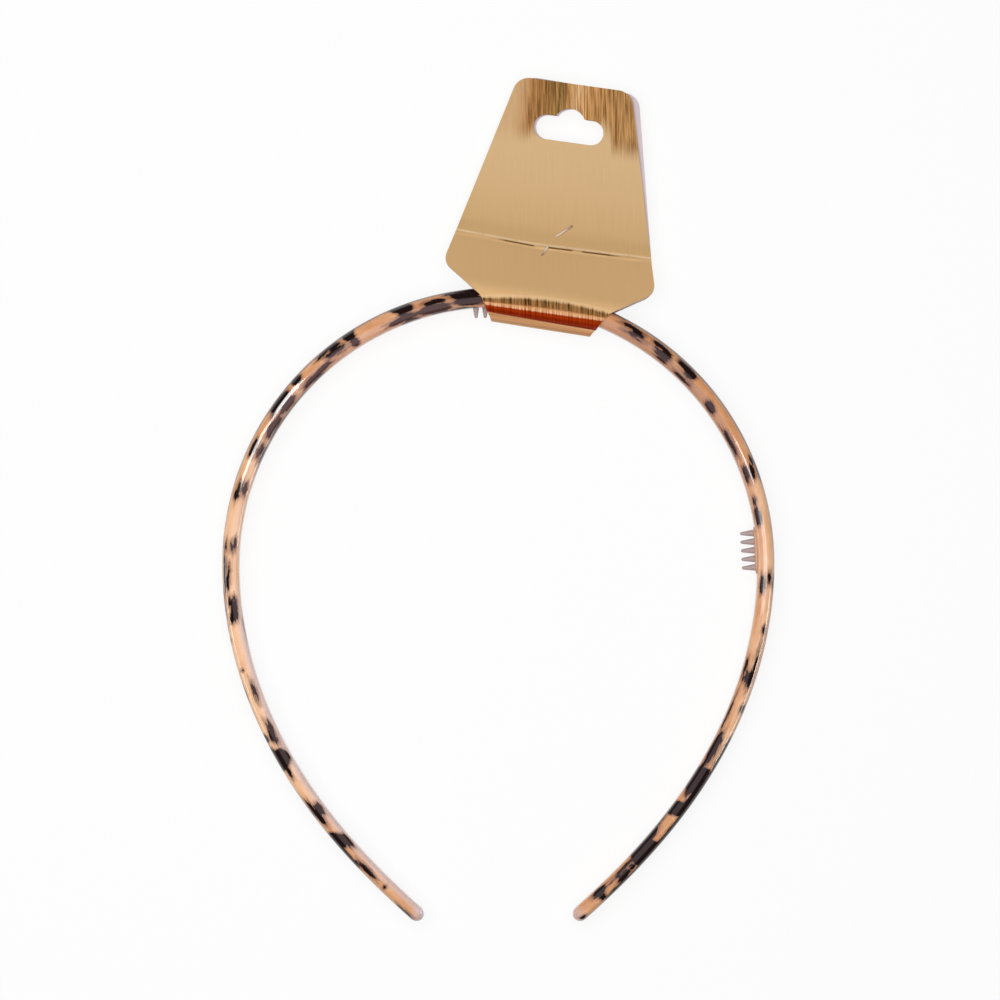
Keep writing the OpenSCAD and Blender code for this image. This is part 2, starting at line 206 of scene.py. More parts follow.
class HeadbandCard(PropertyGroup):
    """Sizes and colours of the hang card."""

    thick: length("Thickness", 0.35, "Thickness of the card")
    angle: degrees("Angle", 10.25, "Angle of the card round the crown, clockwise from the top")
    lean: degrees("Lean", 1.4, "Angle that the card hangs askew by")
    skew: degrees("Skew", 0.9, "Angle that each leaf is splayed by")
    fold_radius: length("Fold radius", 62.474, "Distance of the fold from the crown's centre")
    fold_width: length("Fold width", 25.9, "Length of the fold")
    neck_width: length("Neck width", 34, "Width where the card leaves the band")
    neck_up: length("Neck distance", 6.4, "Distance of that width from the fold")
    shoulder_width: length("Shoulder width", 55.6, "Width at the shoulders")
    shoulder_up: length("Shoulder distance", 13.5, "Distance of the shoulders from the fold")
    shoulder_round: length("Shoulder round", 3.6, "Radius of the shoulders' corners")
    top_width: length("Top width", 29.9, "Width along the top edge")
    long: length("Length", 64.8, "Distance of the top edge from the fold")
    top_round: length("Top round", 4.2, "Radius of the top's corners")
    nose_height: length("Fold height", 1.275, "Half height of the lip at the fold")
    lip: length("Lip", 2.02, "Length of the lip at the fold")
    loop_start: length("Loop start", 2.67, "Distance from the fold to where the loop runs level")
    loop_end: length("Loop end", 8.626, "Distance from the fold to where the loop comes down")
    loop_height: length("Loop height", 4.475, "Half height of the loop over the band")
    pinch_up: length("Crease", 21.3, "Distance from the fold to the crease")
    pinch_height: length("Crease height", 0.225, "Half height between the leaves at the crease")
    top_height: length("Top height", 0.475, "Half height between the leaves at the top edge")
    spread: length("Shoulder spread", 0.65, "How far the front leaf's right shoulder stands past the back one")
    slot_width: length("Slot width", 18.4, "Length of the hang slot")
    slot_height: length("Slot height", 6.4, "Height of the hang slot at its ends")
    slot_seat: length("Slot seat", 4.25, "Radius of the round seat in the slot")
    slot_seat_up: length("Slot seat height", 1.3, "Height of the seat's centre over the slot's middle")
    slot_up: length("Slot distance", 52.7, "Distance from the fold to the slot")
    # Darkened to a pinkish grey as painted shade on the board's face.
    board: tint("Board", "#DACCCE", "White of the board inside")


class HeadbandStaple(PropertyGroup):
    """Sizes and colour of the staple."""

    wire: length("Wire", 0.55, "Diameter of the wire")
    width: length("Width", 10.9, "Distance between the legs")
    clinch: length("Clinch", 2.9, "Length of the lower leg that is clinched over the front")
    upper_clinch: length("Upper clinch", 4.75, "Length of the upper leg that is clinched over the front")
    stray: share("Stray", 0.19, "How far each clinched leg strays sideways for its length")
    angle: degrees("Angle", 53, "Angle from the direction of the fold")
    up: length("Distance", 23.5, "Distance from the fold to the staple's middle")
    over: length("Offset", 0.6, "Distance of the staple's middle from the card's middle line, to the right")
    gap: length("Gap", 0.04, "Gap between the wire and the card")
    steel: tint("Steel", "#FFEADA", "Colour of the wire")
    # Painted shade and the painted reflection of the dark foil, towards the wire's bends.
    steel_shaded: tint("Steel, bent", "#7A4A2C", "Colour of the wire towards its bends, by the dark of the foil")


class HeadbandStage(PropertyGroup):
    """Camera and light."""

    view_width: length("View width", 262.2, "Width of the picture at the band's middle")
    view_x: length("View across", 0.446, "Middle of the picture, across")
    view_y: length("View up", 16.676, "Middle of the picture, up")
    camera_height: length("Camera height", 1200, "Height of the camera over the band")
    floor: tint("Floor", "#FFFFFF", "Floor and background")
    world: share("World", 0.1, "Brightness of the surroundings")
    key: share("Key", 0.84, "Brightness that the broad soft light adds to a level face")
    softbox: number("Softbox", 0.9, "Brightness of the softbox as it is mirrored")
    lamps: number("Lamps", 14, "Brightness of the lamps as they are mirrored")


def add(tree, kind, inputs=None, pick=None, **settings):
    """Adds a node; inputs are its sockets by name or number, each a value or an output to link. Returns the
    node, or the output that is picked."""
    node = tree.nodes.new(kind)
    for name, value in settings.items():
        setattr(node, name, value)
    for key, value in (inputs or {}).items():
        if isinstance(value, bpy.types.NodeSocket):
            tree.links.new(value, node.inputs[key])
        else:
            node.inputs[key].default_value = value
    return node if pick is None else node.outputs[pick]


def ramp_stops(node, stops):
    """Sets the stops of a colour ramp, each a position and an sRGB hex colour."""
    elements = node.color_ramp.elements
    while len(elements) > 1:
        elements.remove(elements[-1])
    elements[0].position = stops[0][0]
    elements[0].color = (*linear(stops[0][1]), 1)
    for position, colour in stops[1:]:
        elements.new(position).color = (*linear(colour), 1)
    return node


def new_material(name, constants):
    """New node material, with its principled shader, on which constants are set."""
    material = bpy.data.materials.new(name)
    material.use_nodes = True
    shader = material.node_tree.nodes["Principled BSDF"]
    for socket, value in constants.items():
        shader.inputs[socket].default_value = value
    return material, material.node_tree, shader


def mottled(name, constants, tone, dimmer, apart, detail):
    """New material of one tone, which marks about so far apart make dimmer; returns its colour as well."""
    material, tree, shader = new_material(name, constants)
    place = add(tree, "ShaderNodeTexCoord", None, "Object")
    marks = add(tree, "ShaderNodeTexNoise", {"Vector": place, "Scale": 1 / apart, "Detail": detail}, 0)
    ends = {6: (*tone, 1), 7: (*(dimmer * v for v in tone), 1)}
    return material, tree, shader, add(tree, MIX, {0: marks, **ends}, 2, data_type="RGBA")


def new_tree(name, counts, sizes):
    """New geometry node tree with named counts and sizes as inputs; returns it with what it is given."""
    tree = bpy.data.node_groups.new(name, "GeometryNodeTree")
    tree.interface.new_socket("Geometry", in_out="OUTPUT", socket_type="NodeSocketGeometry")
    kinds = {"Geometry": "Geometry", **dict.fromkeys(counts, "Int"), **dict.fromkeys(sizes, "Float")}
    for label, kind in {**kinds, "Material": "Material"}.items():
        tree.interface.new_socket(label, in_out="INPUT", socket_type="NodeSocket" + kind)
    return tree, tree.nodes.new("NodeGroupInput").outputs


def end_tree(tree, given, geometry):
    """Ends a tree in real geometry with its material."""
    real = add(tree, "GeometryNodeRealizeInstances", {"Geometry": geometry}, 0)
    paint = add(tree, "GeometryNodeSetMaterial", {"Geometry": real, "Material": given["Material"]}, 0)
    add(tree, "NodeGroupOutput", {0: paint})


def new_piece(name, verts=(), edges=(), faces=()):
    """New mesh object at the origin."""
    mesh = bpy.data.meshes.new(name)
    mesh.from_pydata([tuple(v) for v in verts], list(edges), list(faces))
    piece = bpy.data.objects.new(name, mesh)
    bpy.context.collection.objects.link(piece)
    return piece


def keep_result(piece):
    """Makes a plain mesh of what a piece's modifiers give."""
    graph = bpy.context.evaluated_depsgraph_get()
    mesh = bpy.data.meshes.new_from_object(
        piece.evaluated_get(graph), preserve_all_data_layers=True, depsgraph=graph
    )
    old = piece.data
    piece.modifiers.clear()
    piece.data = mesh
    bpy.data.meshes.remove(old)
    mesh.name = piece.name
    if not mesh.polygons:
        raise RuntimeError(f"{piece.name} came out empty")


def grow(piece, tree, values):
    """Runs a tree on a piece, its inputs set by their identifiers, and keeps the result as a plain mesh."""
    modifier = piece.modifiers.new(tree.name, "NODES")
    modifier.node_group = tree
    for item in tree.interface.items_tree:
        if item.in_out == "INPUT" and item.name in values:
            modifier[item.identifier] = values[item.name]
    keep_result(piece)


def labelled(group):
    """The values of a property group by their labels, which are the names of a tree's inputs."""
    return {p.name: getattr(group, p.identifier) for p in group.bl_rna.properties}


def store(mesh, name, values):
    """Stores a number at each point of a mesh."""
    mesh.attributes.new(name, "FLOAT", "POINT").data.foreach_set("value", values)


def corners_of(mesh):
    """The point at each corner of a mesh's faces."""
    corner = np.empty(len(mesh.loops), dtype=np.int64)
    mesh.loops.foreach_get("vertex_index", corner)
    return corner


def hand_over(piece, sharp, body, node):
    """Shades a finished piece smooth, with edges past an angle in degrees left sharp, and rides it on its body
    in place of its CAD node."""
    piece.data.polygons.foreach_set("use_smooth", [True] * len(piece.data.polygons))
    piece.data.set_sharp_from_angle(angle=math.radians(sharp))
    piece.data.update()
    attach(piece, body)
    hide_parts(node)


def turned(p, angle):
    """A flat point turned about the origin."""
    c, s = math.cos(angle), math.sin(angle)
    return (p[0] * c - p[1] * s, p[0] * s + p[1] * c)


def rounded(path, points):
    """Flat points of a path whose corners carry a radius as their third number."""
    out = []
    for i, (x, y, r) in enumerate(path):
        corner = Vector((x, y))
        if r == 0 or i in (0, len(path) - 1):
            out.append(corner)
            continue
        before = (Vector(path[i - 1][:2]) - corner).normalized()
        after = (Vector(path[i + 1][:2]) - corner).normalized()
        half = before.angle(after) / 2
        centre = corner + (before + after).normalized() * r / math.sin(half)
        start = corner + before * r / math.tan(half) - centre
        turn = math.copysign(math.pi - 2 * half, before.y * after.x - before.x * after.y)
        out += [centre + Vector(turned(start, turn * k / points)) for k in range(points + 1)]
    return out


def swept(path, mesh):
    """Fills a mesh with a chain of points for a sweep to follow."""
    mesh.from_pydata([tuple(p) for p in path], [(i, i + 1) for i in range(len(path) - 1)], [])


# Band


def band_stations(b):
    """Stations of one half of the band from the top of the crown, evenly spaced and finer round the tip."""
    step, tip_rings = 0.45 * MM, 12
    total = b.crown_radius * math.pi / 2 + b.arm_length
    straight = total - b.tip_round
    even = np.linspace(0, straight, round(straight / step) + 1)
    tip = straight + b.tip_round * np.sin(np.radians(np.linspace(8, 86, tip_rings)))
    return np.concatenate([even, tip]), total


def band_heading(b, s):
    """Direction of the band at stations s, as an angle clockwise from +X."""
    crown_half = b.crown_radius * math.pi / 2
    rest = np.clip(1 - (s - crown_half) / b.arm_length, 0, 1)
    return np.where(s <= crown_half, s / b.crown_radius, math.pi / 2 + b.arm_turn * (1 - rest**b.arm_ease))


def band_path(b):
    """Stations from tip to tip, the outer edge at each and the direction outwards."""
    s, total = band_stations(b)
    middle = band_heading(b, (s[1:] + s[:-1]) / 2)
    steps = np.diff(s)[:, None] * np.stack([np.cos(middle), -np.sin(middle)], 1)
    edge = np.concatenate([[[0, 0]], np.cumsum(steps, 0)]) + [0, b.crown_radius]
    heading = band_heading(b, s)
    out = np.stack([np.sin(heading), np.cos(heading)], 1)
    flip = np.array([-1, 1])
    return (
        np.concatenate([-s[:0:-1], s]),
        np.concatenate([edge[:0:-1] * flip, edge]),
        np.concatenate([out[:0:-1] * flip, out]),
        total,
    )


def band_tree():
    """Sweeps the band's section along its outer edge: squarer inside than outside, slimmer towards the tips."""
    sizes = ("Crown thickness", "Tip thickness", "Crown depth", "Tip depth", "Half length", "Tip round")
    tree, given = new_tree("Band sweep", ("Section points",), (*sizes, "Inner squareness", "Outer squareness"))
    count = given["Section points"]
    ring = add(tree, "GeometryNodeCurvePrimitiveCircle", {"Resolution": count, "Radius": MM}, "Curve")
    place = add(tree, "GeometryNodeInputIndex", None, 0)
    round_share = add(tree, MATH, {0: place, 1: count}, 0, operation="DIVIDE")
    spine = add(tree, "GeometryNodeMeshToCurve", {"Mesh": given["Geometry"]}, "Curve")
    edge = add(tree, "GeometryNodeInputPosition", None, 0)
    kept = ((ring, "round", round_share, "FLOAT"), (spine, "edge", edge, "FLOAT_VECTOR"))
    ring, spine = (
        add(
            tree,
            "GeometryNodeStoreNamedAttribute",
            {"Geometry": curve, "Name": name, "Value": value},
            0,
            data_type=kind,
            domain="POINT",
        )
        for curve, name, value, kind in kept
    )
    skin = add(tree, "GeometryNodeCurveToMesh", {"Curve": spine, "Profile Curve": ring, "Fill Caps": True}, 0)

    at = {label: given[label] for label in given.keys()}
    for kind, names in (("FLOAT", ("round", "station")), ("FLOAT_VECTOR", ("edge", "outward"))):
        for name in names:
            at[name] = add(tree, "GeometryNodeInputNamedAttribute", {"Name": name}, "Attribute", data_type=kind)
    at["far"] = add(tree, MATH, {0: at["station"]}, 0, operation="ABSOLUTE")
    for word in ("thickness", "depth"):
        ends = {"From Max": at["Half length"], "To Min": at["Crown " + word], "To Max": at["Tip " + word]}
        at[word] = add(tree, RANGE, {"Value": at["far"], **ends}, 0, interpolation_type="SMOOTHSTEP")
    # Each step takes values from before it: round the section, with its squareness; past the start of the round
    # tip, with the share of the section that is left there; then out and up from the edge.
    for name, operation, *terms in (
        ("turn", "MULTIPLY", "round", math.tau),
        ("cosine", "COSINE", "turn"),
        ("sine", "SINE", "turn"),
        ("inside", "LESS_THAN", "cosine", 0),
        ("squarer", "SUBTRACT", "Inner squareness", "Outer squareness"),
        ("square", "MULTIPLY_ADD", "inside", "squarer", "Outer squareness"),
        ("power", "DIVIDE", 2, "square"),
        ("sign", "SIGN", "cosine"),
        ("bent", "ABSOLUTE", "cosine"),
        ("bent", "POWER", "bent", "power"),
        ("across", "MULTIPLY", "sign", "bent"),
        ("sign", "SIGN", "sine"),
        ("bent", "ABSOLUTE", "sine"),
        ("bent", "POWER", "bent", "power"),
        ("high", "MULTIPLY", "sign", "bent"),
        ("straight", "SUBTRACT", "Half length", "Tip round"),
        ("past", "SUBTRACT", "far", "straight"),
        ("past", "MAXIMUM", "past", 0),
        ("past", "DIVIDE", "past", "Tip round"),
        ("past", "MULTIPLY", "past", "past"),
        ("left", "SUBTRACT", 1, "past"),
        ("left", "SQRT", "left"),
        ("half", "MULTIPLY", "left", 0.5),
        ("out", "MULTIPLY_ADD", "across", "half", -0.5),
        ("out", "MULTIPLY", "thickness", "out"),
        ("high", "MULTIPLY", "high", "half"),
        ("high", "MULTIPLY", "depth", "high"),
    ):
        at[name] = add(tree, MATH, {i: at.get(t, t) for i, t in enumerate(terms)}, 0, operation=operation)
    reach = add(tree, "ShaderNodeCombineXYZ", {0: at["out"], 1: at["out"]}, 0)
    lift = add(tree, "ShaderNodeCombineXYZ", {2: at["high"]}, 0)
    moved = {0: at["outward"], 1: reach, 2: at["edge"]}
    moved = add(tree, "ShaderNodeVectorMath", moved, 0, operation="MULTIPLY_ADD")
    moved = add(tree, "ShaderNodeVectorMath", {0: moved, 1: lift}, 0, operation="ADD")
    end_tree(tree, given, add(tree, "GeometryNodeSetPosition", {"Geometry": skin, "Position": moved}, 0))
    return tree


def blotch_field(station, girth, inward, blotches, side, under):
    """Depth in millimetres inside the nearest blotch, at each point of the rings; negative outside."""
    field = np.full(station.shape, OUTSIDE)
    middle = station.shape[1] // 2
    narrowest = 0.2
    for along, inset, half_long, half_wide, *lean in blotches:
        ring = int(np.argmin(np.abs(station[:, 0] - side * along)))
        face_in, face_girth = inward[ring, : middle + 1], girth[ring, : middle + 1]
        reach = np.array([inset - half_wide, inset, inset + half_wide])
        spot = np.interp(np.abs(reach), face_in, face_girth) * np.where(reach < 0, -1, 1)
        wide = max((spot[2] - spot[0]) / 2, narrowest)
        centre = (spot[2] + spot[0]) / 2
        over = (-girth if under else girth) - centre
        run = side * station - along - (lean[0] * over if lean else 0)
        # Outside, the depth falls off by at least half the distance to the blotch.
        ratio = np.hypot(run / half_long, over / wide)
        gap = ratio * (ratio - 1) / (np.hypot(run / half_long**2, over / wide**2) + 1e-6)
        depth = -np.maximum((ratio - 1) * min(wide, half_long), np.where(ratio > 1, 0.5 * gap, OUTSIDE))
        field = np.maximum(field, np.where(side * station >= 0, depth, OUTSIDE))
    return field


def band_print(piece, b, rings, points):
    """Gives the band its print field and a map in millimetres along it and round its section."""
    mesh = piece.data
    count = rings * points
    place = np.empty(len(mesh.vertices) * 3)
    mesh.vertices.foreach_get("co", place)
    place = place.reshape(-1, 3)[:count].reshape(rings, points, 3) / MM
    read = {}
    for name in ("station", "round"):
        values = np.empty(len(mesh.vertices))
        mesh.attributes[name].data.foreach_get("value", values)
        read[name] = values[:count].reshape(rings, points)
    if np.abs(read["round"] - np.arange(points) / points).max() > 1e-4:
        raise RuntimeError("the band's rings came out in another order")
    station = read["station"] / MM
    gap = np.linalg.norm(np.diff(np.concatenate([place, place[:, :1]], 1), axis=1), axis=2)
    far = np.concatenate([np.zeros((rings, 1)), np.cumsum(gap, 1)], 1)
    middle = points // 2
    girth = np.where(np.arange(points) <= middle, far[:, :points], far[:, :points] - far[:, -1:])
    ease = np.clip(np.abs(station) / (station.max() + 0.001), 0, 1)
    thick = (b.crown_thick + (b.tip_thick - b.crown_thick) * ease**2 * (3 - 2 * ease)) / MM
    across = np.cos(2 * np.pi * read["round"])
    square = np.where(across < 0, b.inner_square, b.outer_square)
    inward = thick * (1 - np.sign(across) * np.abs(across) ** (2 / square)) / 2

    field = np.full(station.shape, OUTSIDE)
    for blotches, side in ((LEFT_BLOTCHES, -1), (RIGHT_BLOTCHES, 1)):
        above = blotch_field(station, girth, inward, blotches, side, False)
        # The face that lies down carries the other arm's blotches, and they stop short of the outer edge.
        short = 0.3
        below = np.minimum(blotch_field(station, girth, inward, blotches, -side, True), -short - girth)
        field = np.maximum(field, np.maximum(above, below))
    caps = np.zeros(len(mesh.vertices) - count)
    store(mesh, "print", np.concatenate([field.ravel(), caps + OUTSIDE]))
    store(mesh, "inset", np.concatenate([(inward / thick).ravel(), caps]))

    # The map runs on past the seam on the faces that cross it.
    corner = corners_of(mesh)
    round_all = np.repeat(far[:, -1], points)
    along, flat, whole = (
        np.concatenate([values.ravel(), caps])[corner] for values in (station, girth, round_all)
    )
    uv = np.stack([along, flat], 1)
    starts = np.array([p.loop_start for p in mesh.polygons])
    totals = np.array([p.loop_total for p in mesh.polygons])
    face = np.repeat(np.arange(len(starts)), totals)
    highest = np.maximum.reduceat(uv[:, 1], starts)[face]
    wrapped = (highest > 0) & (uv[:, 1] < 0) & (highest - uv[:, 1] > whole / 2)
    uv[wrapped, 1] += whole[wrapped]
    layer = mesh.uv_layers.new(name="wrap")
    layer.uv.foreach_set("vector", uv.ravel())


def band_material(b):
    """Styrene, moulded and printed under a clear lacquer: a peach ground with dark streaky blotches whose edges
    smoke away along the band, brown along the outer edge that is partly painted shade, and paler inside by a
    painted reflection, under a hard gloss that mirrors the light above."""
    material, tree, shader = new_material("styrene_printed_lacquered", {"Roughness": 0.09, "IOR": 1.5})
    wrap = add(tree, "ShaderNodeUVMap", None, 0, uv_map="wrap")
    along = add(tree, "ShaderNodeSeparateXYZ", {0: wrap}, 0)
    far = add(tree, MATH, {0: along}, 0, operation="ABSOLUTE")
    field, inset = (add(tree, "ShaderNodeAttribute", None, "Fac", attribute_name=n) for n in ("print", "inset"))
    # The map is in millimetres: streaks about 3 mm long and 0.6 mm wide, threads about 1.2 mm by 0.25 mm,
    # clouds about 10 mm by 3 mm.
    marks = []
    for scale, detail in (((0.28, 1.6, 1), 3), ((0.85, 4.0, 1), 2), ((0.1, 0.35, 1), 2)):
        grid = add(tree, "ShaderNodeMapping", {"Vector": wrap, "Scale": scale}, 0)
        mark = {"Vector": grid, "Scale": 1.0, "Detail": detail, "Roughness": 0.6}
        marks.append(add(tree, "ShaderNodeTexNoise", mark, 0, noise_dimensions="2D"))
    streak, thread, cloud = marks
    ragged = add(tree, MATH, {0: streak, 1: 1.1, 2: field}, 0, operation="MULTIPLY_ADD")
    ragged = add(tree, MATH, {0: thread, 1: 0.4, 2: ragged}, 0, operation="MULTIPLY_ADD")

    # Every zone fades in or out by what it is read from: two ends and their values.
    zones = {
        # In and round each blotch.
        "core": (ragged, 0.48, 0.66, 0, 1),
        "halo": (ragged, -0.2, 0.6, 0, 0.75),
        # Across the band: brown along the outer edge, partly print and partly painted shade, and a pale veil from
        # the middle inwards, a painted reflection, over which the blotches fade.
        # Partly the print's brown edge and partly painted shade where the side falls away.
        "edge": (inset, 0.03, 0.15, 1, 0),
        "inner": (inset, 0.46, 0.58, 0, 1),
        "brim": (inset, 0.56, 0.82, 0, 1),
        # Along it: the ground is deepest at the crown and the tips and palest half way down each arm, partly
        # print and partly painted shade; painted shade deepens it inside on the right, and a painted lilac
        # reflection cools it inside on the left.
        "high": (far, 62, 112, 0.85, 0),
        "low": (far, 152, 200, 0, 0.65),
        "right": (along, 0, 25, 0, 0.15),
        "fade": (far, 98, 125, 0.75, 0.2),
        "clear": (along, -17, -9, 1, 0.45),
        # Painted shade over the right arm's inner half.
        "shade": (along, 5, 45, 0, 0.6),
        # Painted lilac reflection on the inner brim of the left arm's lower part.
        "lilac_reflection": (along, -128, -116, 0.5, 0),
        # Painted shadow of the card over the right arm's inner half near the crown.
        "card_shadow": (far, 60, 95, 0.5, 0),
    }
    at = {}
    for name, (value, low, high, first, last) in zones.items():
        ends = {"From Min": low, "From Max": high, "To Min": first, "To Max": last}
        at[name] = add(tree, RANGE, {"Value": value, **ends}, 0, interpolation_type="SMOOTHSTEP")
    patch = {"Value": cloud, "From Min": 0.3, "From Max": 0.7, "To Min": -0.3, "To Max": 0.3}
    at["patch"] = add(tree, RANGE, patch, 0)
    at["strong"] = add(tree, RANGE, {"Value": at["high"], "To Min": 0.2, "To Max": 0.9}, 0)
    at["tip"] = add(tree, RANGE, {"Value": far, "From Min": 220.5, "From Max": 223.5, "To Max": 0.5}, 0)
    for name, operation, *terms in (
        ("fade", "MULTIPLY", "fade", "clear"),
        ("shade", "MULTIPLY", "inner", "shade"),
        ("card_shadow", "MULTIPLY", "shade", "card_shadow"),
        ("deep", "ADD", "high", "low"),
        ("deep", "ADD", "deep", "right"),
        ("deep", "ADD", "deep", "shade"),
        ("deep", "ADD", "deep", "patch"),
        ("strong", "MULTIPLY_ADD", "right", 2, "strong"),
        ("strong", "MINIMUM", "strong", 1),
        ("edge", "MULTIPLY", "edge", "strong"),
        # Painted reflection over the inner half, weaker down the arms.
        ("inner_sheen", "MULTIPLY", "inner", "fade"),
        ("veiled", "MULTIPLY", "inner_sheen", 0.22),
        ("veiled", "MAXIMUM", "veiled", "tip"),
        ("veiled", "MULTIPLY_ADD", "brim", "lilac_reflection", "veiled"),
    ):
        at[name] = add(tree, MATH, {i: at.get(t, t) for i, t in enumerate(terms)}, 0, operation=operation)

    # The ground, then what lies over it in turn.
    colour = (*b.cream, 1)
    tones = {"deep": b.tan, "card_shadow": b.smoke, "edge": b.rim, "veiled": b.veil, "halo": b.smoke}
    for part, tone in tones.items():
        colour = add(tree, MIX, {0: at[part], 6: colour, 7: (*tone, 1)}, 2, data_type="RGBA")
    dark = add(tree, MIX, {0: at["inner_sheen"], 6: (*b.blotch, 1), 7: (*b.sheened, 1)}, 2, data_type="RGBA")
    colour = add(tree, MIX, {0: at["core"], 6: colour, 7: dark}, 2, data_type="RGBA")
    tree.links.new(colour, shader.inputs["Base Color"])
    ripple = add(tree, "ShaderNodeBump", {"Strength": 0.006, "Distance": 0.2 * MM, "Height": streak}, 0)
    tree.links.new(ripple, shader.inputs["Normal"])
    return material


def make_band(b):
    """Sweeps, prints and paints the band."""
    points = 48
    station, edge, out, total = band_path(b)
    piece = new_piece("band_print")
    swept([(x, y, 0) for x, y in edge], piece.data)
    store(piece.data, "station", station)
    level = np.concatenate([out, np.zeros((len(out), 1))], 1)
    piece.data.attributes.new("outward", "FLOAT_VECTOR", "POINT").data.foreach_set("vector", level.ravel())
    extra = {"Section points": points, "Half length": total, "Material": band_material(b)}
    grow(piece, band_tree(), {**labelled(b), **extra})
    band_print(piece, b, len(station), points)
    hand_over(piece, 60, "band", "band")


# Comb strips


def comb_tree():
    """Sets teeth along a bar with round ends."""
    sizes = ("Pitch", "First tooth", "Bar length", "Bar depth", "Bar thickness")
    tree, given = new_tree("Comb strip", ("Teeth",), sizes)
    long, deep, thick = (given["Bar " + word] for word in ("length", "depth", "thickness"))
    first = add(tree, "ShaderNodeCombineXYZ", {0: given["First tooth"], 2: thick}, 0)
    step = add(tree, "ShaderNodeCombineXYZ", {0: given["Pitch"]}, 0)
    row = {"Count": given["Teeth"], "Start Location": first, "Offset": step}
    row = add(tree, "GeometryNodeMeshLine", row, 0)
    teeth = add(tree, "GeometryNodeInstanceOnPoints", {"Points": row, "Instance": given["Geometry"]}, 0)
    teeth = add(tree, "GeometryNodeRealizeInstances", {"Geometry": teeth}, 0)
    outline = add(tree, "GeometryNodeCurvePrimitiveQuadrilateral", {"Width": long, "Height": deep}, 0)
    # The ends' radius stays just under half the depth.
    half = add(tree, MATH, {0: deep, 1: 0.499}, 0, operation="MULTIPLY")
    ends = {"Curve": outline, "Count": 12, "Radius": half, "Limit Radius": True}
    outline = add(tree, "GeometryNodeFilletCurve", ends, 0, mode="POLY")
    floor = add(tree, "GeometryNodeFillCurve", {"Curve": outline}, 0, mode="NGONS")
    rise = {"Mesh": floor, "Offset": UP, "Offset Scale": thick, "Individual": False}
    bar = add(tree, "GeometryNodeExtrudeMesh", rise, 0)
    under = add(tree, "GeometryNodeFlipFaces", {"Mesh": floor}, 0)
    both = add(tree, "GeometryNodeJoinGeometry", {0: bar})
    tree.links.new(under, both.inputs[0])
    seam = {"Geometry": both.outputs[0], "Distance": 0.001 * MM}
    closed = add(tree, "GeometryNodeMergeByDistance", seam, 0)
    whole = add(tree, "GeometryNodeMeshBoolean", {"Mesh 2": closed}, operation="UNION", solver="EXACT")
    tree.links.new(teeth, whole.inputs["Mesh 2"])
    end_tree(tree, given, whole.outputs[0])
    return tree


def tooth_shape(c):
    """Points and faces of one tooth, standing on zero: a flared root in the bar, a slim cone, a round tip."""
    root, tip = c.tooth_root / 2, c.tooth_tip / 2
    cone = c.tooth_length - tip
    flare, sunk = 0.18 * MM, 0.4 * MM
    steps, sides = 6, 24
    outline = [(root + flare, -sunk), (root + flare, 0.0)]
    outline += [
        (root + flare * (1 - math.sin(a)), flare * (1 - math.cos(a)) + 0.02 * MM)
        for a in np.radians((30, 55, 80))
    ]
    outline += [
        (root + (tip - root) * k / steps, flare + (cone - flare) * k / steps) for k in range(1, steps + 1)
    ]
    outline += [(tip * math.cos(a), cone + tip * math.sin(a)) for a in np.radians((20, 40, 60, 78))]
    turns = [math.tau * k / sides for k in range(sides)]
    verts = [(0, 0, outline[0][1])]
    verts += [(r * math.cos(turn), r * math.sin(turn), h) for r, h in outline for turn in turns]
    verts.append((0, 0, c.tooth_length))
    faces = [(0, 1 + (k + 1) % sides, 1 + k) for k in range(sides)]
    for i in range(len(outline) - 1):
        a, b = 1 + i * sides, 1 + (i + 1) * sides
        faces += [(a + k, a + (k + 1) % sides, b + (k + 1) % sides, b + k) for k in range(sides)]
    top = 1 + (len(outline) - 1) * sides
    faces += [(top + k, top + (k + 1) % sides, len(verts) - 1) for k in range(sides)]
    return verts, faces


def comb_material(c):
    """Polypropylene, moulded cloudy: a little light comes through, with a greyish pink cast, a soft shine."""
    cloudy = {"Transmission Weight": 0.3, "Roughness": 0.2, "IOR": 1.49}
    # Flow marks of the moulding, about 0.8 mm apart.
    material, tree, shader, colour = mottled(
        "polypropylene_moulded_cloudy", cloudy, c.clear, dimmer=0.82, apart=0.8 * MM, detail=2
    )
    # Painted glow from the band beside the strip, strongest in the side strip's bar.
    band_glow = add(tree, "ShaderNodeAttribute", None, "Fac", attribute_name="band_glow")
    colour = add(tree, MIX, {0: band_glow, 6: colour, 7: (*c.band_glow_tint, 1)}, 2, data_type="RGBA")
    tree.links.new(colour, shader.inputs["Base Color"])
    return material


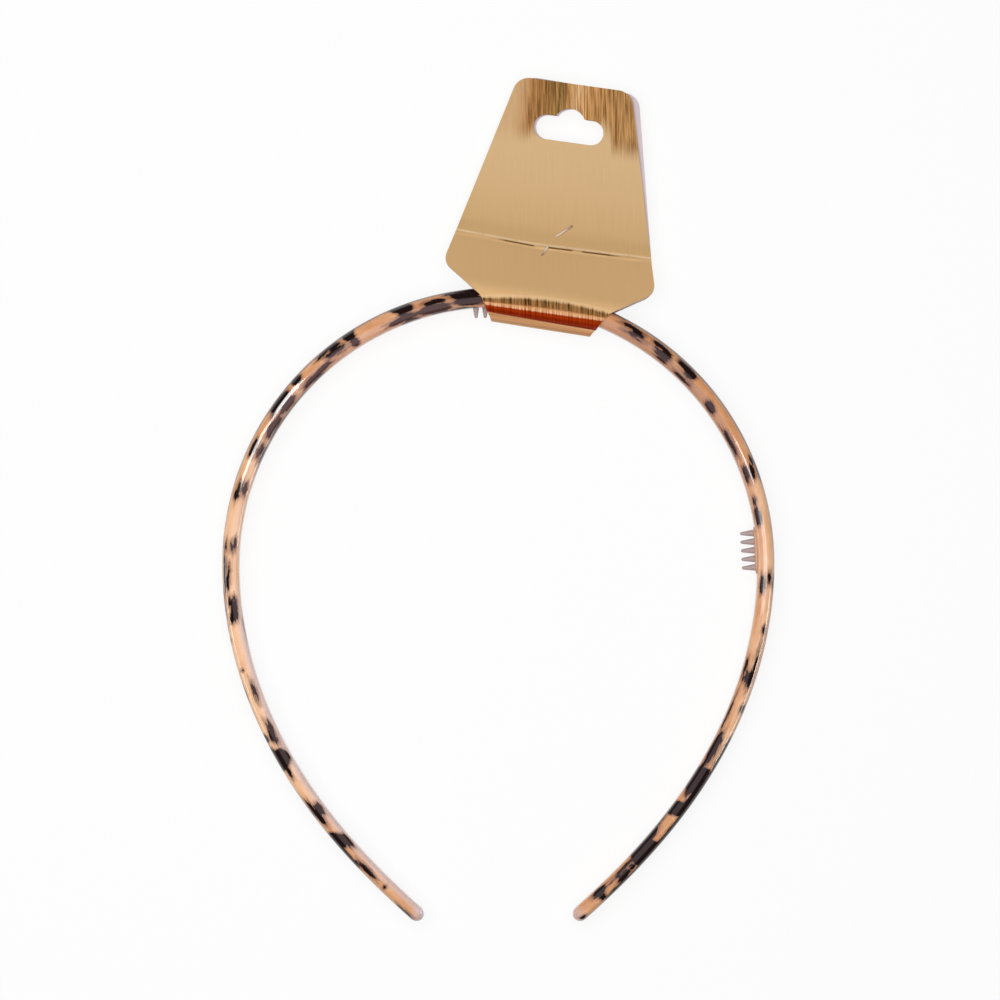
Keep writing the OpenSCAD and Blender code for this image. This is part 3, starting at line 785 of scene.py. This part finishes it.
def make_combs(c, b):
    """Builds the two comb strips and sets them in the band."""
    material = comb_material(c)
    tree = comb_tree()
    total = b.crown_radius * math.pi / 2 + b.arm_length
    for node, angle, seat, pitch, band_glow in (
        ("crown_comb", c.crown_angle, c.crown_seat, c.crown_pitch, 0.2),
        ("side_comb", c.side_angle, c.side_seat, c.side_pitch, 0.85),
    ):
        row = (c.teeth - 1) * pitch
        verts, faces = tooth_shape(c)
        piece = new_piece(node + "_strip", verts, (), faces)
        bar = {"Pitch": pitch, "First tooth": -row / 2, "Bar length": row + c.tooth_root + 2 * c.bar_end}
        grow(piece, tree, {**labelled(c), **bar, "Material": material})
        far = abs(angle) * b.crown_radius / total
        thick = b.crown_thick + (b.tip_thick - b.crown_thick) * far**2 * (3 - 2 * far)
        place = (
            Matrix.Rotation(-angle, 4, "Z")
            @ Matrix.Translation((0, b.crown_radius - thick + seat, 0))
            @ Matrix.Rotation(math.pi / 2, 4, "X")
        )
        soften = piece.modifiers.new("Soft edges", "BEVEL")
        soften.width = 0.15 * MM
        soften.segments = 3
        soften.limit_method = "ANGLE"
        soften.angle_limit = math.radians(50)
        keep_result(piece)
        # The bar takes on the band's colour, a painted glow from the band beside it, and the teeth lose it over
        # the first half millimetre.
        past = np.array([v.co.z - c.bar_thick for v in piece.data.vertices])
        store(piece.data, "band_glow", band_glow * np.clip(1 - past / (0.5 * MM), 0, 1))
        piece.data.transform(place)
        hand_over(piece, 50, "band", node)


# Hang card


def card_matrix(c):
    """Places the card's own frame, fold along X and top towards +Y, round the crown."""
    out = Matrix.Translation((0, c.fold_radius, 0))
    return Matrix.Rotation(-c.angle, 4, "Z") @ out @ Matrix.Rotation(c.lean, 4, "Z")


def leaf_profile(c):
    """Side view of the front leaf, from the fold over the band and down to the crease, then to the top edge."""
    half = c.thick / 2
    # Each corner's distance from the fold, height and radius.
    corners = [
        (half, 0, 0),
        (half, c.nose_height, 0.7 * c.nose_height),
        (c.lip, c.nose_height, 0.6 * MM),
        (c.loop_start, c.loop_height, 1.1 * MM),
        (c.loop_end, c.loop_height, 10 * MM),
        (c.pinch_up, c.pinch_height, 6 * MM),
        (c.long + 1 * MM, c.top_height, 0),
    ]
    return np.array([tuple(p) for p in rounded(corners, 10)])


def leaf_half_width(c):
    """Half width of a leaf at distances from the fold, with its round corners, as two rows to look up."""
    corners = [
        (c.fold_width / 2, -1 * MM, 0),
        (c.fold_width / 2, 0, 0),
        (c.neck_width / 2, c.neck_up, 0),
        (c.shoulder_width / 2, c.shoulder_up, c.shoulder_round),
        (c.top_width / 2, c.long, c.top_round),
        (0, c.long, 0),
    ]
    outline = np.array([tuple(p) for p in rounded(corners, 24)])
    return outline[:-1, 1], outline[:-1, 0]


def leaf_rows(c):
    """Distances from the fold of a leaf's rows beyond its nose, close together where it bends or rounds off."""
    # Each stretch starts at a distance and has a number of rows; the last goes round the top's corners.
    top = c.long - c.top_round
    starts = (NOSE, 3.6 * MM, 7.4 * MM, 9.6 * MM, 19.4 * MM, 23.0 * MM, top)
    counts = (28, 10, 9, 24, 26, 60)
    rows = [np.linspace(a, b, n, endpoint=False) for a, b, n in zip(starts, starts[1:], counts)]
    return np.concatenate([*rows, top + c.top_round * np.sin(np.linspace(0, math.pi / 2, 14))])


def crease_shift(u, v, c):
    """How far up the crease lies off its straight line: lowest at the staple and rising to both sides."""
    reach, dip = 10 * MM, 0.05 * MM
    near = max(0.0, 1 - abs(v - c.pinch_up) / reach)
    return near * (CREASE_RISE * abs(u + CREASE_LOW) - dip)


def crease_lift(u, v, c):
    """How far the leaf stands off its plain side view: a wrinkled ridge at the crease, faint waves beyond."""
    # In millimetres across the leaf and up from the crease; each noise has its own row of the pattern.
    x, y = u / MM, (v - c.pinch_up - crease_shift(u, v, c)) / MM
    wander = 0.5 * noise.noise(Vector((x * 0.09, 3.1, 0)))
    ridge = 0.10 * math.exp(-(((y - wander) / 0.45) ** 2)) * (0.6 + noise.noise(Vector((x * 0.22, 7.7, 0))))
    dent = -0.02 * math.exp(-(((y - wander + 0.8) / 0.5) ** 2)) * (0.7 + noise.noise(Vector((x * 0.3, 1.3, 2))))
    wave = 0.05 * noise.noise(Vector((x * 0.06, y * 0.05, 5.2))) * min(max((y + 6) / 6, 0), 1)
    return max(ridge + dent, -0.1) * MM + wave * MM


def card_sheet(c):
    """Points, faces and leaf map of the whole card as one sheet, from the back leaf's top round the fold to the
    front leaf's top."""
    profile = leaf_profile(c)
    past_nose = int(np.argmax(profile[:, 0] >= NOSE - 0.01 * MM))
    nose, flank = profile[:past_nose], profile[past_nose - 1 :].T
    rows = leaf_rows(c)
    look_v, look_w = leaf_half_width(c)
    wide = 61
    columns = np.linspace(-1, 1, wide)
    verts, uvs = [], []
    for side in (-1, 1):
        skew = side * c.skew
        leaf = []
        for v, w in nose[1 if side < 0 else 0 :]:
            half = np.interp(v, look_v, look_w)
            leaf.append([((k * half, v, side * w), (k * half, side * v)) for k in columns])
        for row in rows:
            half = np.interp(row, look_v, look_w)
            line = []
            wider = np.interp(row, (c.neck_up, c.shoulder_up, c.long), (0, c.spread, 0)) if side > 0 else 0
            for k in columns:
                across = k * half + max(k, 0) * wider
                # Rows run along the fold at the fold, and along the leaf's own top edge at the top.
                up = row - across * math.tan(skew) * (1 - row / c.long)
                u, v = turned((across, up), skew)
                w = np.interp(v - crease_shift(u, v, c), *flank)
                if side > 0:
                    w += crease_lift(u, v, c)
                line.append(((u, v, side * w), (across, side * up)))
            leaf.append(line)
        for line in leaf[::side]:
            verts += [p for p, _ in line]
            uvs += [q for _, q in line]
    starts = [i + j for i in range(0, len(verts) - wide, wide) for j in range(wide - 1)]
    faces = [(k, k + 1, k + wide + 1, k + wide) for k in starts]
    return verts, faces, uvs


def slot_cutter(c, front):
    """Closed solid that punches the hang slot through one leaf."""
    end = (c.slot_width - c.slot_height) / 2
    r, seat, rise = c.slot_height / 2, c.slot_seat, c.slot_seat_up
    meet = math.sqrt(seat**2 - (r - rise) ** 2)
    lift = math.atan2(r - rise, meet)
    # Three arcs: each one's centre, radius, first and last angle.
    quarter = math.pi / 2
    arcs = (
        (-end, 0, r, quarter, 3 * quarter),
        (end, 0, r, -quarter, quarter),
        (0, rise, seat, lift, math.pi - lift),
    )
    outline = [
        (x + radius * math.cos(a), y + radius * math.sin(a))
        for x, y, radius, first, last in arcs
        for a in np.linspace(first, last, 25)
    ]
    # The back leaf's slot lies a little to the right, and the punch goes well past each leaf.
    shift, punch = 0.7 * MM, 6 * MM
    shift, low, high = (0, 0, punch) if front else (shift, -punch, 0)
    flat = [turned((x + shift, y + c.slot_up), c.skew) for x, y in outline]
    n = len(flat)
    verts = [(x, y, z) for z in (low, high) for x, y in flat]
    faces = [tuple(range(n - 1, -1, -1)), tuple(range(n, 2 * n))]
    faces += [(i, (i + 1) % n, n + (i + 1) % n, n + i) for i in range(n)]
    return new_piece("slot_cutter", verts, (), faces)


def foil_material(c):
    """Gold foil on board, brushed: a satin metal with fine scratches up the card, with painted reflections in
    dark and bright streaks along them where it bends over the band and round the slot."""
    satin = {"Metallic": 0.35, "Roughness": 0.42, "Specular IOR Level": 0.0}
    material, tree, shader = new_material("gold_foil_board_brushed", satin)
    leaf = add(tree, "ShaderNodeUVMap", None, 0, uv_map="leaf")
    # The map is in metres, across and up the leaf. Scratches stand about 0.36 mm apart, in sheaves about 1.1 mm
    # apart, and patches are about 4 mm wide. The foil was cut a little off its grain.
    grain = (0, 0, c.angle - c.lean)
    apart = add(tree, "ShaderNodeSeparateXYZ", {0: leaf})
    at = {"u": apart.outputs[0], "v": apart.outputs[1]}
    for name, wide, tall in (("scratch", 0.36, 12), ("sheaf", 1.1, 30), ("patch", 4, 4)):
        grid = {"Vector": leaf, "Rotation": grain, "Scale": (wide * MM, tall * MM, 1)}
        grid = add(tree, "ShaderNodeMapping", grid, 0, vector_type="TEXTURE")
        marks = {"Vector": grid, "Scale": 1.0, "Detail": 3.0, "Roughness": 0.65}
        at[name] = add(tree, "ShaderNodeTexNoise", marks, 0, noise_dimensions="2D")
    # In millimetres: across and up the leaf, and off the crease, which is low at the staple and rises to both
    # sides.
    for name, operation, *terms in (
        ("mixed", "MULTIPLY_ADD", "sheaf", 0.32, "scratch"),
        ("across", "DIVIDE", "u", MM),
        ("wide", "ABSOLUTE", "across"),
        ("up", "ABSOLUTE", "v"),
        ("up", "DIVIDE", "up", MM),
        ("askew", "MULTIPLY", "across", -math.tan(c.skew)),
        ("rise", "ADD", "across", CREASE_LOW / MM),
        ("rise", "ABSOLUTE", "rise"),
        ("rise", "MULTIPLY_ADD", "rise", CREASE_RISE, "askew"),
        ("from_fold", "SUBTRACT", "up", c.pinch_up / MM - 0.05),
        ("over", "SUBTRACT", "from_fold", "rise"),
        ("from_fold", "ABSOLUTE", "from_fold"),
        ("off_line", "ABSOLUTE", "over"),
        ("beside", "SUBTRACT", "over", 0.55),
        ("beside", "ABSOLUTE", "beside"),
    ):
        at[name] = add(tree, MATH, {i: at.get(t, t) for i, t in enumerate(terms)}, 0, operation=operation)
    # Every zone fades in or out by what it is read from: two ends and their values.
    for name, (value, low, high, first, last) in {
        "streak": ("mixed", 0.43, 0.87, 0, 1),
        "bend": ("up", 4.4, 6.2, 0, 1.2),
        "unbend": ("up", 9.0, 16.0, 1, 0),
        "by_fold": ("from_fold", 2.0, 8.0, -1, 0),
        "lip": ("up", 2.8, 3.8, 0.031, 0),
        "rag_in": ("up", 3.6, 5.0, 0, 1.3),
        "rag_out": ("up", 6.4, 8.4, 1, 0.3),
        "arch_side": ("wide", 7.0, 11.5, 0, 2.6),
        "arch_gap": ("across", 7.2, 8.8, 0, 1),
        "arch_right": ("across", 10.6, 12.4, -4.0, 0.8),
        "arch_left": ("across", -15.5, -10.0, 0.25, 1),
        "arch_across": ("across", -16.0, 16.0, 0, 1),
        "line": ("off_line", 0.1, 0.28, 0.9, 0),
        "ridge": ("beside", 0.1, 0.4, 0.6, 0),
        "broken": ("patch", 0.32, 0.46, 0.3, 1),
        "brushed": ("scratch", 0.3, 0.7, 0.985, 1.012),
    }.items():
        ends = {"From Min": low, "From Max": high, "To Min": first, "To Max": last}
        at[name] = add(tree, RANGE, {"Value": at[value], **ends}, 0, interpolation_type="SMOOTHSTEP")
    # The bend over the band bows, its edges ragged along the scratches; the arch of painted reflection stands
    # round the slot.
    long = c.long / MM
    for name, operation, *terms in (
        ("bow", "SUBTRACT", "across", 2),
        ("bow", "DIVIDE", "bow", 15),
        ("bow", "MULTIPLY", "bow", "bow"),
        ("bow", "MULTIPLY", "bow", "unbend"),
        ("height", "MULTIPLY_ADD", "bow", "bend", "up"),
        ("height", "MULTIPLY_ADD", "rise", "by_fold", "height"),
        ("height", "MULTIPLY_ADD", "across", "lip", "height"),
        ("loose", "SUBTRACT", "scratch", 0.5),
        ("ragged", "MULTIPLY", "rag_in", "rag_out"),
        ("height", "MULTIPLY_ADD", "loose", "ragged", "height"),
        ("height", "DIVIDE", "height", long),
        ("arch", "ADD", "up", "arch_side"),
        ("arch", "MULTIPLY_ADD", "arch_gap", "arch_right", "arch"),
    ):
        at[name] = add(tree, MATH, {i: at.get(t, t) for i, t in enumerate(terms)}, 0, operation=operation)

    # Up the neck: the lip, the red-gold bend over the band, an orange gleam and the streaks at the top of the
    # loop, all painted reflection and painted highlight; then the plain foil up to the top. Each stop is in
    # millimetres from the fold.
    # The lip lightens just before the wall: painted light against the shade at the wall's foot.
    lip = (
        (0, "#D8A87E"), (0.9, "#D09C6E"), (1.25, "#CE9868"), (1.6, "#D6A26E"), (1.8, "#F2C28C"),
        (1.95, "#FFD29A"), (2.12, "#FFCC94"),
    )
    # The slope below the crease is painted lighter, against the shade of its tilt; above the crease the foil
    # lightens towards the top.
    plain = (
        (8.6, "#EBC088"), (20.8, "#EBC088"), (22.4, "#CFAA77"), (24.2, "#CFAA77"), (27, "#D7B27E"),
        (35, "#DFBB88"), (46, "#E4C18F"),
    )
    neck = (
        (
            (2.26, "#8A1400"), (4.1, "#8C2000"), (4.35, "#C88048"), (5.2, "#C07A42"), (5.6, "#3E280E"),
            (7.15, "#402A12"), (7.65, "#DAB27E"), (8.0, "#F2CA96"),
        ),
        (
            (2.26, "#A42C04"), (4.1, "#B04414"), (4.35, "#FFD2A4"), (5.2, "#FCC08A"), (5.6, "#BC864C"),
            (7.15, "#B48450"), (7.65, "#E6C08C"), (8.0, "#F6D0A0"),
        ),
    )
    neck = [[(mm / long, tone) for mm, tone in (*lip, *stops, *plain)] for stops in neck]
    # Round the slot, painted reflections from left to right: darker to the left, a gleam right of the middle,
    # brown to the edge.
    slot = (
        (
            (0.0, "#BC8452"), (0.06, "#8E6034"), (0.2, "#664420"), (0.36, "#583C1A"), (0.46, "#825426"),
            (0.57, "#B87C46"), (0.68, "#98662F"), (0.86, "#84562A"), (1.0, "#82562A"),
        ),
        (
            (0.0, "#D49A66"), (0.06, "#CE985E"), (0.2, "#C49256"), (0.36, "#C4985C"), (0.46, "#E4AE70"),
            (0.57, "#FFD8A4"), (0.68, "#F0B87A"), (0.86, "#E2AC6E"), (1.0, "#DCAA6E"),
        ),
    )
    layers = []
    for where, scales in (("height", neck), ("arch_across", slot)):
        dark, bright = (
            ramp_stops(add(tree, "ShaderNodeValToRGB", {0: at[where]}), stops).outputs[0] for stops in scales
        )
        layers.append(add(tree, MIX, {0: at["streak"], 6: dark, 7: bright}, 2, data_type="RGBA"))
    arch = {"Value": at["arch"], "From Min": 49.5, "From Max": 55.5}
    arch = add(tree, RANGE, arch, 0, interpolation_type="SMOOTHSTEP")
    arch = add(tree, MATH, {0: arch, 1: at["arch_left"]}, 0, operation="MULTIPLY")
    foil = add(tree, MIX, {0: arch, 6: layers[0], 7: layers[1]}, 2, data_type="RGBA")

    # The crease itself: a dark broken line of painted shade, which stops at the staple and short of both edges,
    # with a painted highlight along the ridge over it. Each stop is in millimetres from the left shoulder.
    none, some, full = "#000000", "#808080", "#FFFFFF"
    marks = (
        (0, none), (11, none), (13.5, some), (16, full), (23, full), (23.6, none), (26.4, none), (26.9, full),
        (33, full), (33.8, some), (35.4, some), (36.4, full), (43, full), (46.5, none),
    )
    half = 28.0
    along = add(tree, RANGE, {"Value": at["across"], "From Min": -half, "From Max": half}, 0)
    stops = [(mm / (2 * half), tone) for mm, tone in marks]
    along = ramp_stops(add(tree, "ShaderNodeValToRGB", {0: along}), stops)
    for name, tone, mask in (("ridge", "#F6DCB4", at["broken"]), ("line", "#644020", along.outputs[0])):
        mark = add(tree, MATH, {0: at[name], 1: mask}, 0, operation="MULTIPLY")
        foil = add(tree, MIX, {0: mark, 6: foil, 7: (*linear(tone), 1)}, 2, data_type="RGBA")

    foil = add(tree, MIX, {0: 1.0, 6: foil, 7: at["brushed"]}, 2, data_type="RGBA", blend_type="MULTIPLY")
    tree.links.new(foil, shader.inputs["Base Color"])
    bump = add(tree, "ShaderNodeBump", {"Strength": 0.08, "Distance": 0.03 * MM, "Height": at["scratch"]}, 0)
    tree.links.new(bump, shader.inputs["Normal"])
    return material


def board_material(c):
    """White-lined board, uncoated: a matt white face and cut edge with faint fibres, the white darkened to a
    pinkish grey as painted shade.
    """
    # Fibres about 0.5 mm long.
    material, tree, shader, colour = mottled(
        "white_board_uncoated", {"Roughness": 0.7}, c.board, dimmer=0.93, apart=0.5 * MM, detail=3
    )
    tree.links.new(colour, shader.inputs["Base Color"])
    return material


def make_card(c):
    """Folds, thickens and punches the hang card."""
    verts, faces, uvs = card_sheet(c)
    piece = new_piece("hang_card_foil", verts, (), faces)
    mesh = piece.data
    mesh.materials.append(foil_material(c))
    mesh.materials.append(board_material(c))
    mesh.uv_layers.new(name="leaf").uv.foreach_set("vector", np.array(uvs)[corners_of(mesh)].ravel())
    board = piece.modifiers.new("Board", "SOLIDIFY")
    board.thickness = c.thick
    board.offset = 0
    board.material_offset = board.material_offset_rim = 1
    cutters = [slot_cutter(c, front) for front in (True, False)]
    for cutter in cutters:
        punch = piece.modifiers.new("Slot", "BOOLEAN")
        punch.object = cutter
        punch.solver = "EXACT"
        punch.operation = "DIFFERENCE"
        for material in mesh.materials:
            cutter.data.materials.append(material)
        for polygon in cutter.data.polygons:
            polygon.material_index = 1
    keep_result(piece)
    for cutter in cutters:
        bpy.data.objects.remove(cutter)
    piece.data.transform(card_matrix(c))
    hand_over(piece, 40, "card", "hang_card")


# Staple


def wire_tree():
    """Sweeps a round wire along a path."""
    tree, given = new_tree("Wire sweep", ("Sides",), ("Wire radius",))
    path = add(tree, "GeometryNodeMeshToCurve", {"Mesh": given["Geometry"]}, 0)
    ring = {"Resolution": given["Sides"], "Radius": given["Wire radius"]}
    ring = add(tree, "GeometryNodeCurvePrimitiveCircle", ring, 0)
    wire = add(tree, "GeometryNodeCurveToMesh", {"Curve": path, "Profile Curve": ring, "Fill Caps": True}, 0)
    end_tree(tree, given, wire)
    return tree


def steel_material(s):
    """Staple wire, bright drawn steel: a hard silver shine with fine draw lines, darker towards its bends by
    painted shade.
    """
    shine = {"Metallic": 0.25, "Roughness": 0.3}
    # Draw lines about 0.4 mm apart, coarser than real ones so that they show.
    material, tree, shader, colour = mottled(
        "staple_steel_drawn", shine, s.steel, dimmer=0.86, apart=0.4 * MM, detail=4
    )
    bent = add(tree, "ShaderNodeAttribute", None, "Fac", attribute_name="bent")
    bent = add(tree, RANGE, {"Value": bent, "From Min": 0.5, "To Max": 0.6}, 0)
    colour = add(tree, MIX, {0: bent, 6: colour, 7: (*s.steel_shaded, 1)}, 2, data_type="RGBA")
    tree.links.new(colour, shader.inputs["Base Color"])
    return material


def make_staple(s, c):
    """Bends the staple: its crown behind the card, its legs clinched in front."""
    half = s.width / 2

    def height(d):
        """Height of the wire over the card's middle, at a distance along the staple."""
        spots = (c.loop_end, c.pinch_up, c.long)
        leaf = np.interp(s.up + math.sin(s.angle) * d, spots, (c.loop_height, c.pinch_height, c.top_height))
        return leaf + c.thick / 2 + s.wire / 2 + s.gap

    bend = 0.6 * s.wire
    corners = [
        (s.clinch - half, height(s.clinch - half), 0),
        (-half, height(-half), bend),
        (-half, -height(-half), bend),
        (half, -height(half), bend),
        (half, height(half), bend),
        (half - s.upper_clinch, height(half - s.upper_clinch), 0),
    ]
    path = []
    for d, w in rounded(corners, 10):
        aside = s.stray * (half - abs(d)) if w > 0 else 0
        x, y = turned((d, aside), s.angle)
        path.append((s.over + x, s.up + y, w))
    piece = new_piece("staple_wire")
    swept(path, piece.data)
    # Each leg is free at its end and bent where it comes through the card; painted shade darkens the wire
    # from each free end in towards the bends.
    store(piece.data, "bent", [0.0, *[1.0] * (len(path) - 2), 0.0])
    grow(piece, wire_tree(), {"Wire radius": s.wire / 2, "Sides": 16, "Material": steel_material(s)})
    piece.data.transform(card_matrix(c))
    hand_over(piece, 50, "card", "staple")


# Stage


def floor_material(stage):
    """White paper sweep, lit from behind as in a cut-out picture, which keeps a faint shadow."""
    white = (*stage.floor, 1)
    material, tree, shader = new_material("paper_sweep_white", {"Base Color": white, "Roughness": 0.9})
    path = add(tree, "ShaderNodeLightPath").outputs
    seen = add(tree, MATH, {0: path["Is Camera Ray"], 1: path["Is Glossy Ray"]}, 0, operation="ADD")
    seen = add(tree, MATH, {0: seen, 1: path["Is Transmission Ray"]}, 0, operation="ADD", use_clamp=True)
    part = add(tree, MATH, {0: seen, 1: 0.85}, 0, operation="MULTIPLY")
    glow = add(tree, "ShaderNodeEmission", {"Color": white, "Strength": 1.0}, 0)
    mixed = add(tree, "ShaderNodeMixShader", {0: part, 1: shader.outputs[0], 2: glow}, 0)
    tree.links.new(mixed, tree.nodes["Material Output"].inputs["Surface"])
    return material


def area_light(name, place, size, radiance, glossy, colour="#FFFFFF"):
    """A flat light that shines down, as bright to look at as its radiance."""
    data = bpy.data.lights.new(name, "AREA")
    data.shape = "RECTANGLE"
    data.size, data.size_y = size
    data.energy = radiance * math.pi * size[0] * size[1]
    data.color = linear(colour)
    light = bpy.data.objects.new(name, data)
    light.location = place
    light.visible_glossy = glossy
    light.visible_camera = False
    bpy.context.collection.objects.link(light)
    return light


def make_stage(stage):
    """Sets the floor, the lights and the camera above."""
    scene = bpy.context.scene
    scene.view_settings.view_transform = "Standard"
    world = bpy.data.worlds.new("surroundings")
    world.use_nodes = True
    sky = world.node_tree.nodes["Background"].inputs
    sky["Color"].default_value = (1, 1, 1, 1)
    sky["Strength"].default_value = stage.world
    scene.world = world

    reach, low = 3.0, cad_low.z
    corners = ((-reach, -reach, low), (reach, -reach, low), (reach, reach, low), (-reach, reach, low))
    floor = new_piece("floor", corners, (), [(0, 1, 2, 3)])
    floor.data.materials.append(floor_material(stage))

    middle = Vector((stage.view_x, stage.view_y, 0))
    # The broad light takes up this share of what a level face sees, so this radiance adds the wanted level.
    filled = 0.34
    area_light("broad_light", middle + Vector((-0.2, 0.1, 1.0)), (1.2, 1.2), stage.key / filled, False)
    area_light("softbox", Vector((0, -0.02, 0.45)), (0.27, 0.32), stage.softbox, True, "#FFF2FC")
    lacquered = bpy.data.collections.new("lacquered")
    lacquered.objects.link(bpy.data.objects["band_print"])
    # Slats keep each lamp off the far arm and gather its light.
    slats = math.radians(110)
    gathered = math.tan(slats / 2) / (math.tan(slats / 2) - slats / 2)
    # Lamps that only the lacquer mirrors, as white lines and a soft patch: how far round from the top, how far
    # out and up, size outwards and across, tip towards the band, and level.
    for name, round_by, far, up, size, tip, level in (
        ("lamp_left_upper", -53.3, 0.109, 0.1, (0.062, 0.0155), 0, 2 * stage.lamps),
        ("lamp_left_lower", -66.8, 0.109, 0.1, (0.055, 0.026), 0, 1.4 * stage.lamps),
        ("lamp_right", 69, 0.08, 0.1, (0.014, 0.014), 0, stage.lamps),
        ("window_right", 91, 0.077, 0.1, (0.03, 0.03), 0, 0.45 * stage.lamps),
        ("low_left", -104, 1.4, 0.3, (0.4, 0.7), 80, 0.5 * stage.lamps),
        ("low_right", 109, 1.4, 0.3, (0.5, 0.7), 80, 0.75 * stage.lamps),
    ):
        angle = math.radians(90 - round_by)
        place = Vector((far * math.cos(angle), far * math.sin(angle), up))
        light = area_light(name, place, size, level / gathered, True)
        light.rotation_euler = (0, math.radians(tip), angle)
        light.visible_diffuse = False
        light.data.spread = slats
        light.light_linking.receiver_collection = lacquered

    lens = bpy.data.cameras.new("camera")
    lens.sensor_width = 36
    lens.lens = stage.camera_height / stage.view_width * lens.sensor_width
    camera = bpy.data.objects.new("camera", lens)
    camera.location = middle + Vector((0, 0, stage.camera_height))
    bpy.context.collection.objects.link(camera)
    scene.camera = camera


class HEADBAND_OT_stage(Operator):
    """Set the floor, the lights and the camera"""

    bl_idname = "headband.stage"
    bl_label = "Stage"

    def execute(self, context):
        make_stage(context.scene.headband_stage)
        return {"FINISHED"}


class HEADBAND_OT_band(Operator):
    """Sweep, print and lacquer the band"""

    bl_idname = "headband.band"
    bl_label = "Band"

    def execute(self, context):
        make_band(context.scene.headband_band)
        return {"FINISHED"}


class HEADBAND_OT_combs(Operator):
    """Mould the two comb strips and set them in the band"""

    bl_idname = "headband.combs"
    bl_label = "Comb strips"

    def execute(self, context):
        make_combs(context.scene.headband_combs, context.scene.headband_band)
        return {"FINISHED"}


class HEADBAND_OT_card(Operator):
    """Fold and punch the gold hang card"""

    bl_idname = "headband.card"
    bl_label = "Hang card"

    def execute(self, context):
        make_card(context.scene.headband_card)
        return {"FINISHED"}


class HEADBAND_OT_staple(Operator):
    """Bend the staple through the card"""

    bl_idname = "headband.staple"
    bl_label = "Staple"

    def execute(self, context):
        make_staple(context.scene.headband_staple, context.scene.headband_card)
        return {"FINISHED"}


class HEADBAND_PT_panel(Panel):
    """Lists the pieces of the headband with their sizes"""

    bl_idname = "HEADBAND_PT_panel"
    bl_label = "Headband"
    bl_space_type = "VIEW_3D"
    bl_region_type = "UI"
    bl_category = "Headband"

    def draw(self, context):
        for operator, group, _ in PIECES:
            column = self.layout.box().column(align=True)
            column.operator(operator.bl_idname)
            values = getattr(context.scene, group)
            for name in values.bl_rna.properties.keys():
                if name not in ("rna_type", "name"):
                    column.prop(values, name)


PIECES = (
    (HEADBAND_OT_band, "headband_band", HeadbandBand),
    (HEADBAND_OT_combs, "headband_combs", HeadbandCombs),
    (HEADBAND_OT_card, "headband_card", HeadbandCard),
    (HEADBAND_OT_staple, "headband_staple", HeadbandStaple),
    (HEADBAND_OT_stage, "headband_stage", HeadbandStage),
)


def register():
    for operator, name, group in PIECES:
        bpy.utils.register_class(group)
        setattr(bpy.types.Scene, name, PointerProperty(type=group))
        bpy.utils.register_class(operator)
    bpy.utils.register_class(HEADBAND_PT_panel)


def unregister():
    bpy.utils.unregister_class(HEADBAND_PT_panel)
    for operator, name, group in reversed(PIECES):
        bpy.utils.unregister_class(operator)
        delattr(bpy.types.Scene, name)
        bpy.utils.unregister_class(group)


def main():
    register()
    bpy.ops.headband.band()
    bpy.ops.headband.combs()
    bpy.ops.headband.card()
    bpy.ops.headband.staple()
    bpy.ops.headband.stage()


if __name__ == "__main__":
    main()
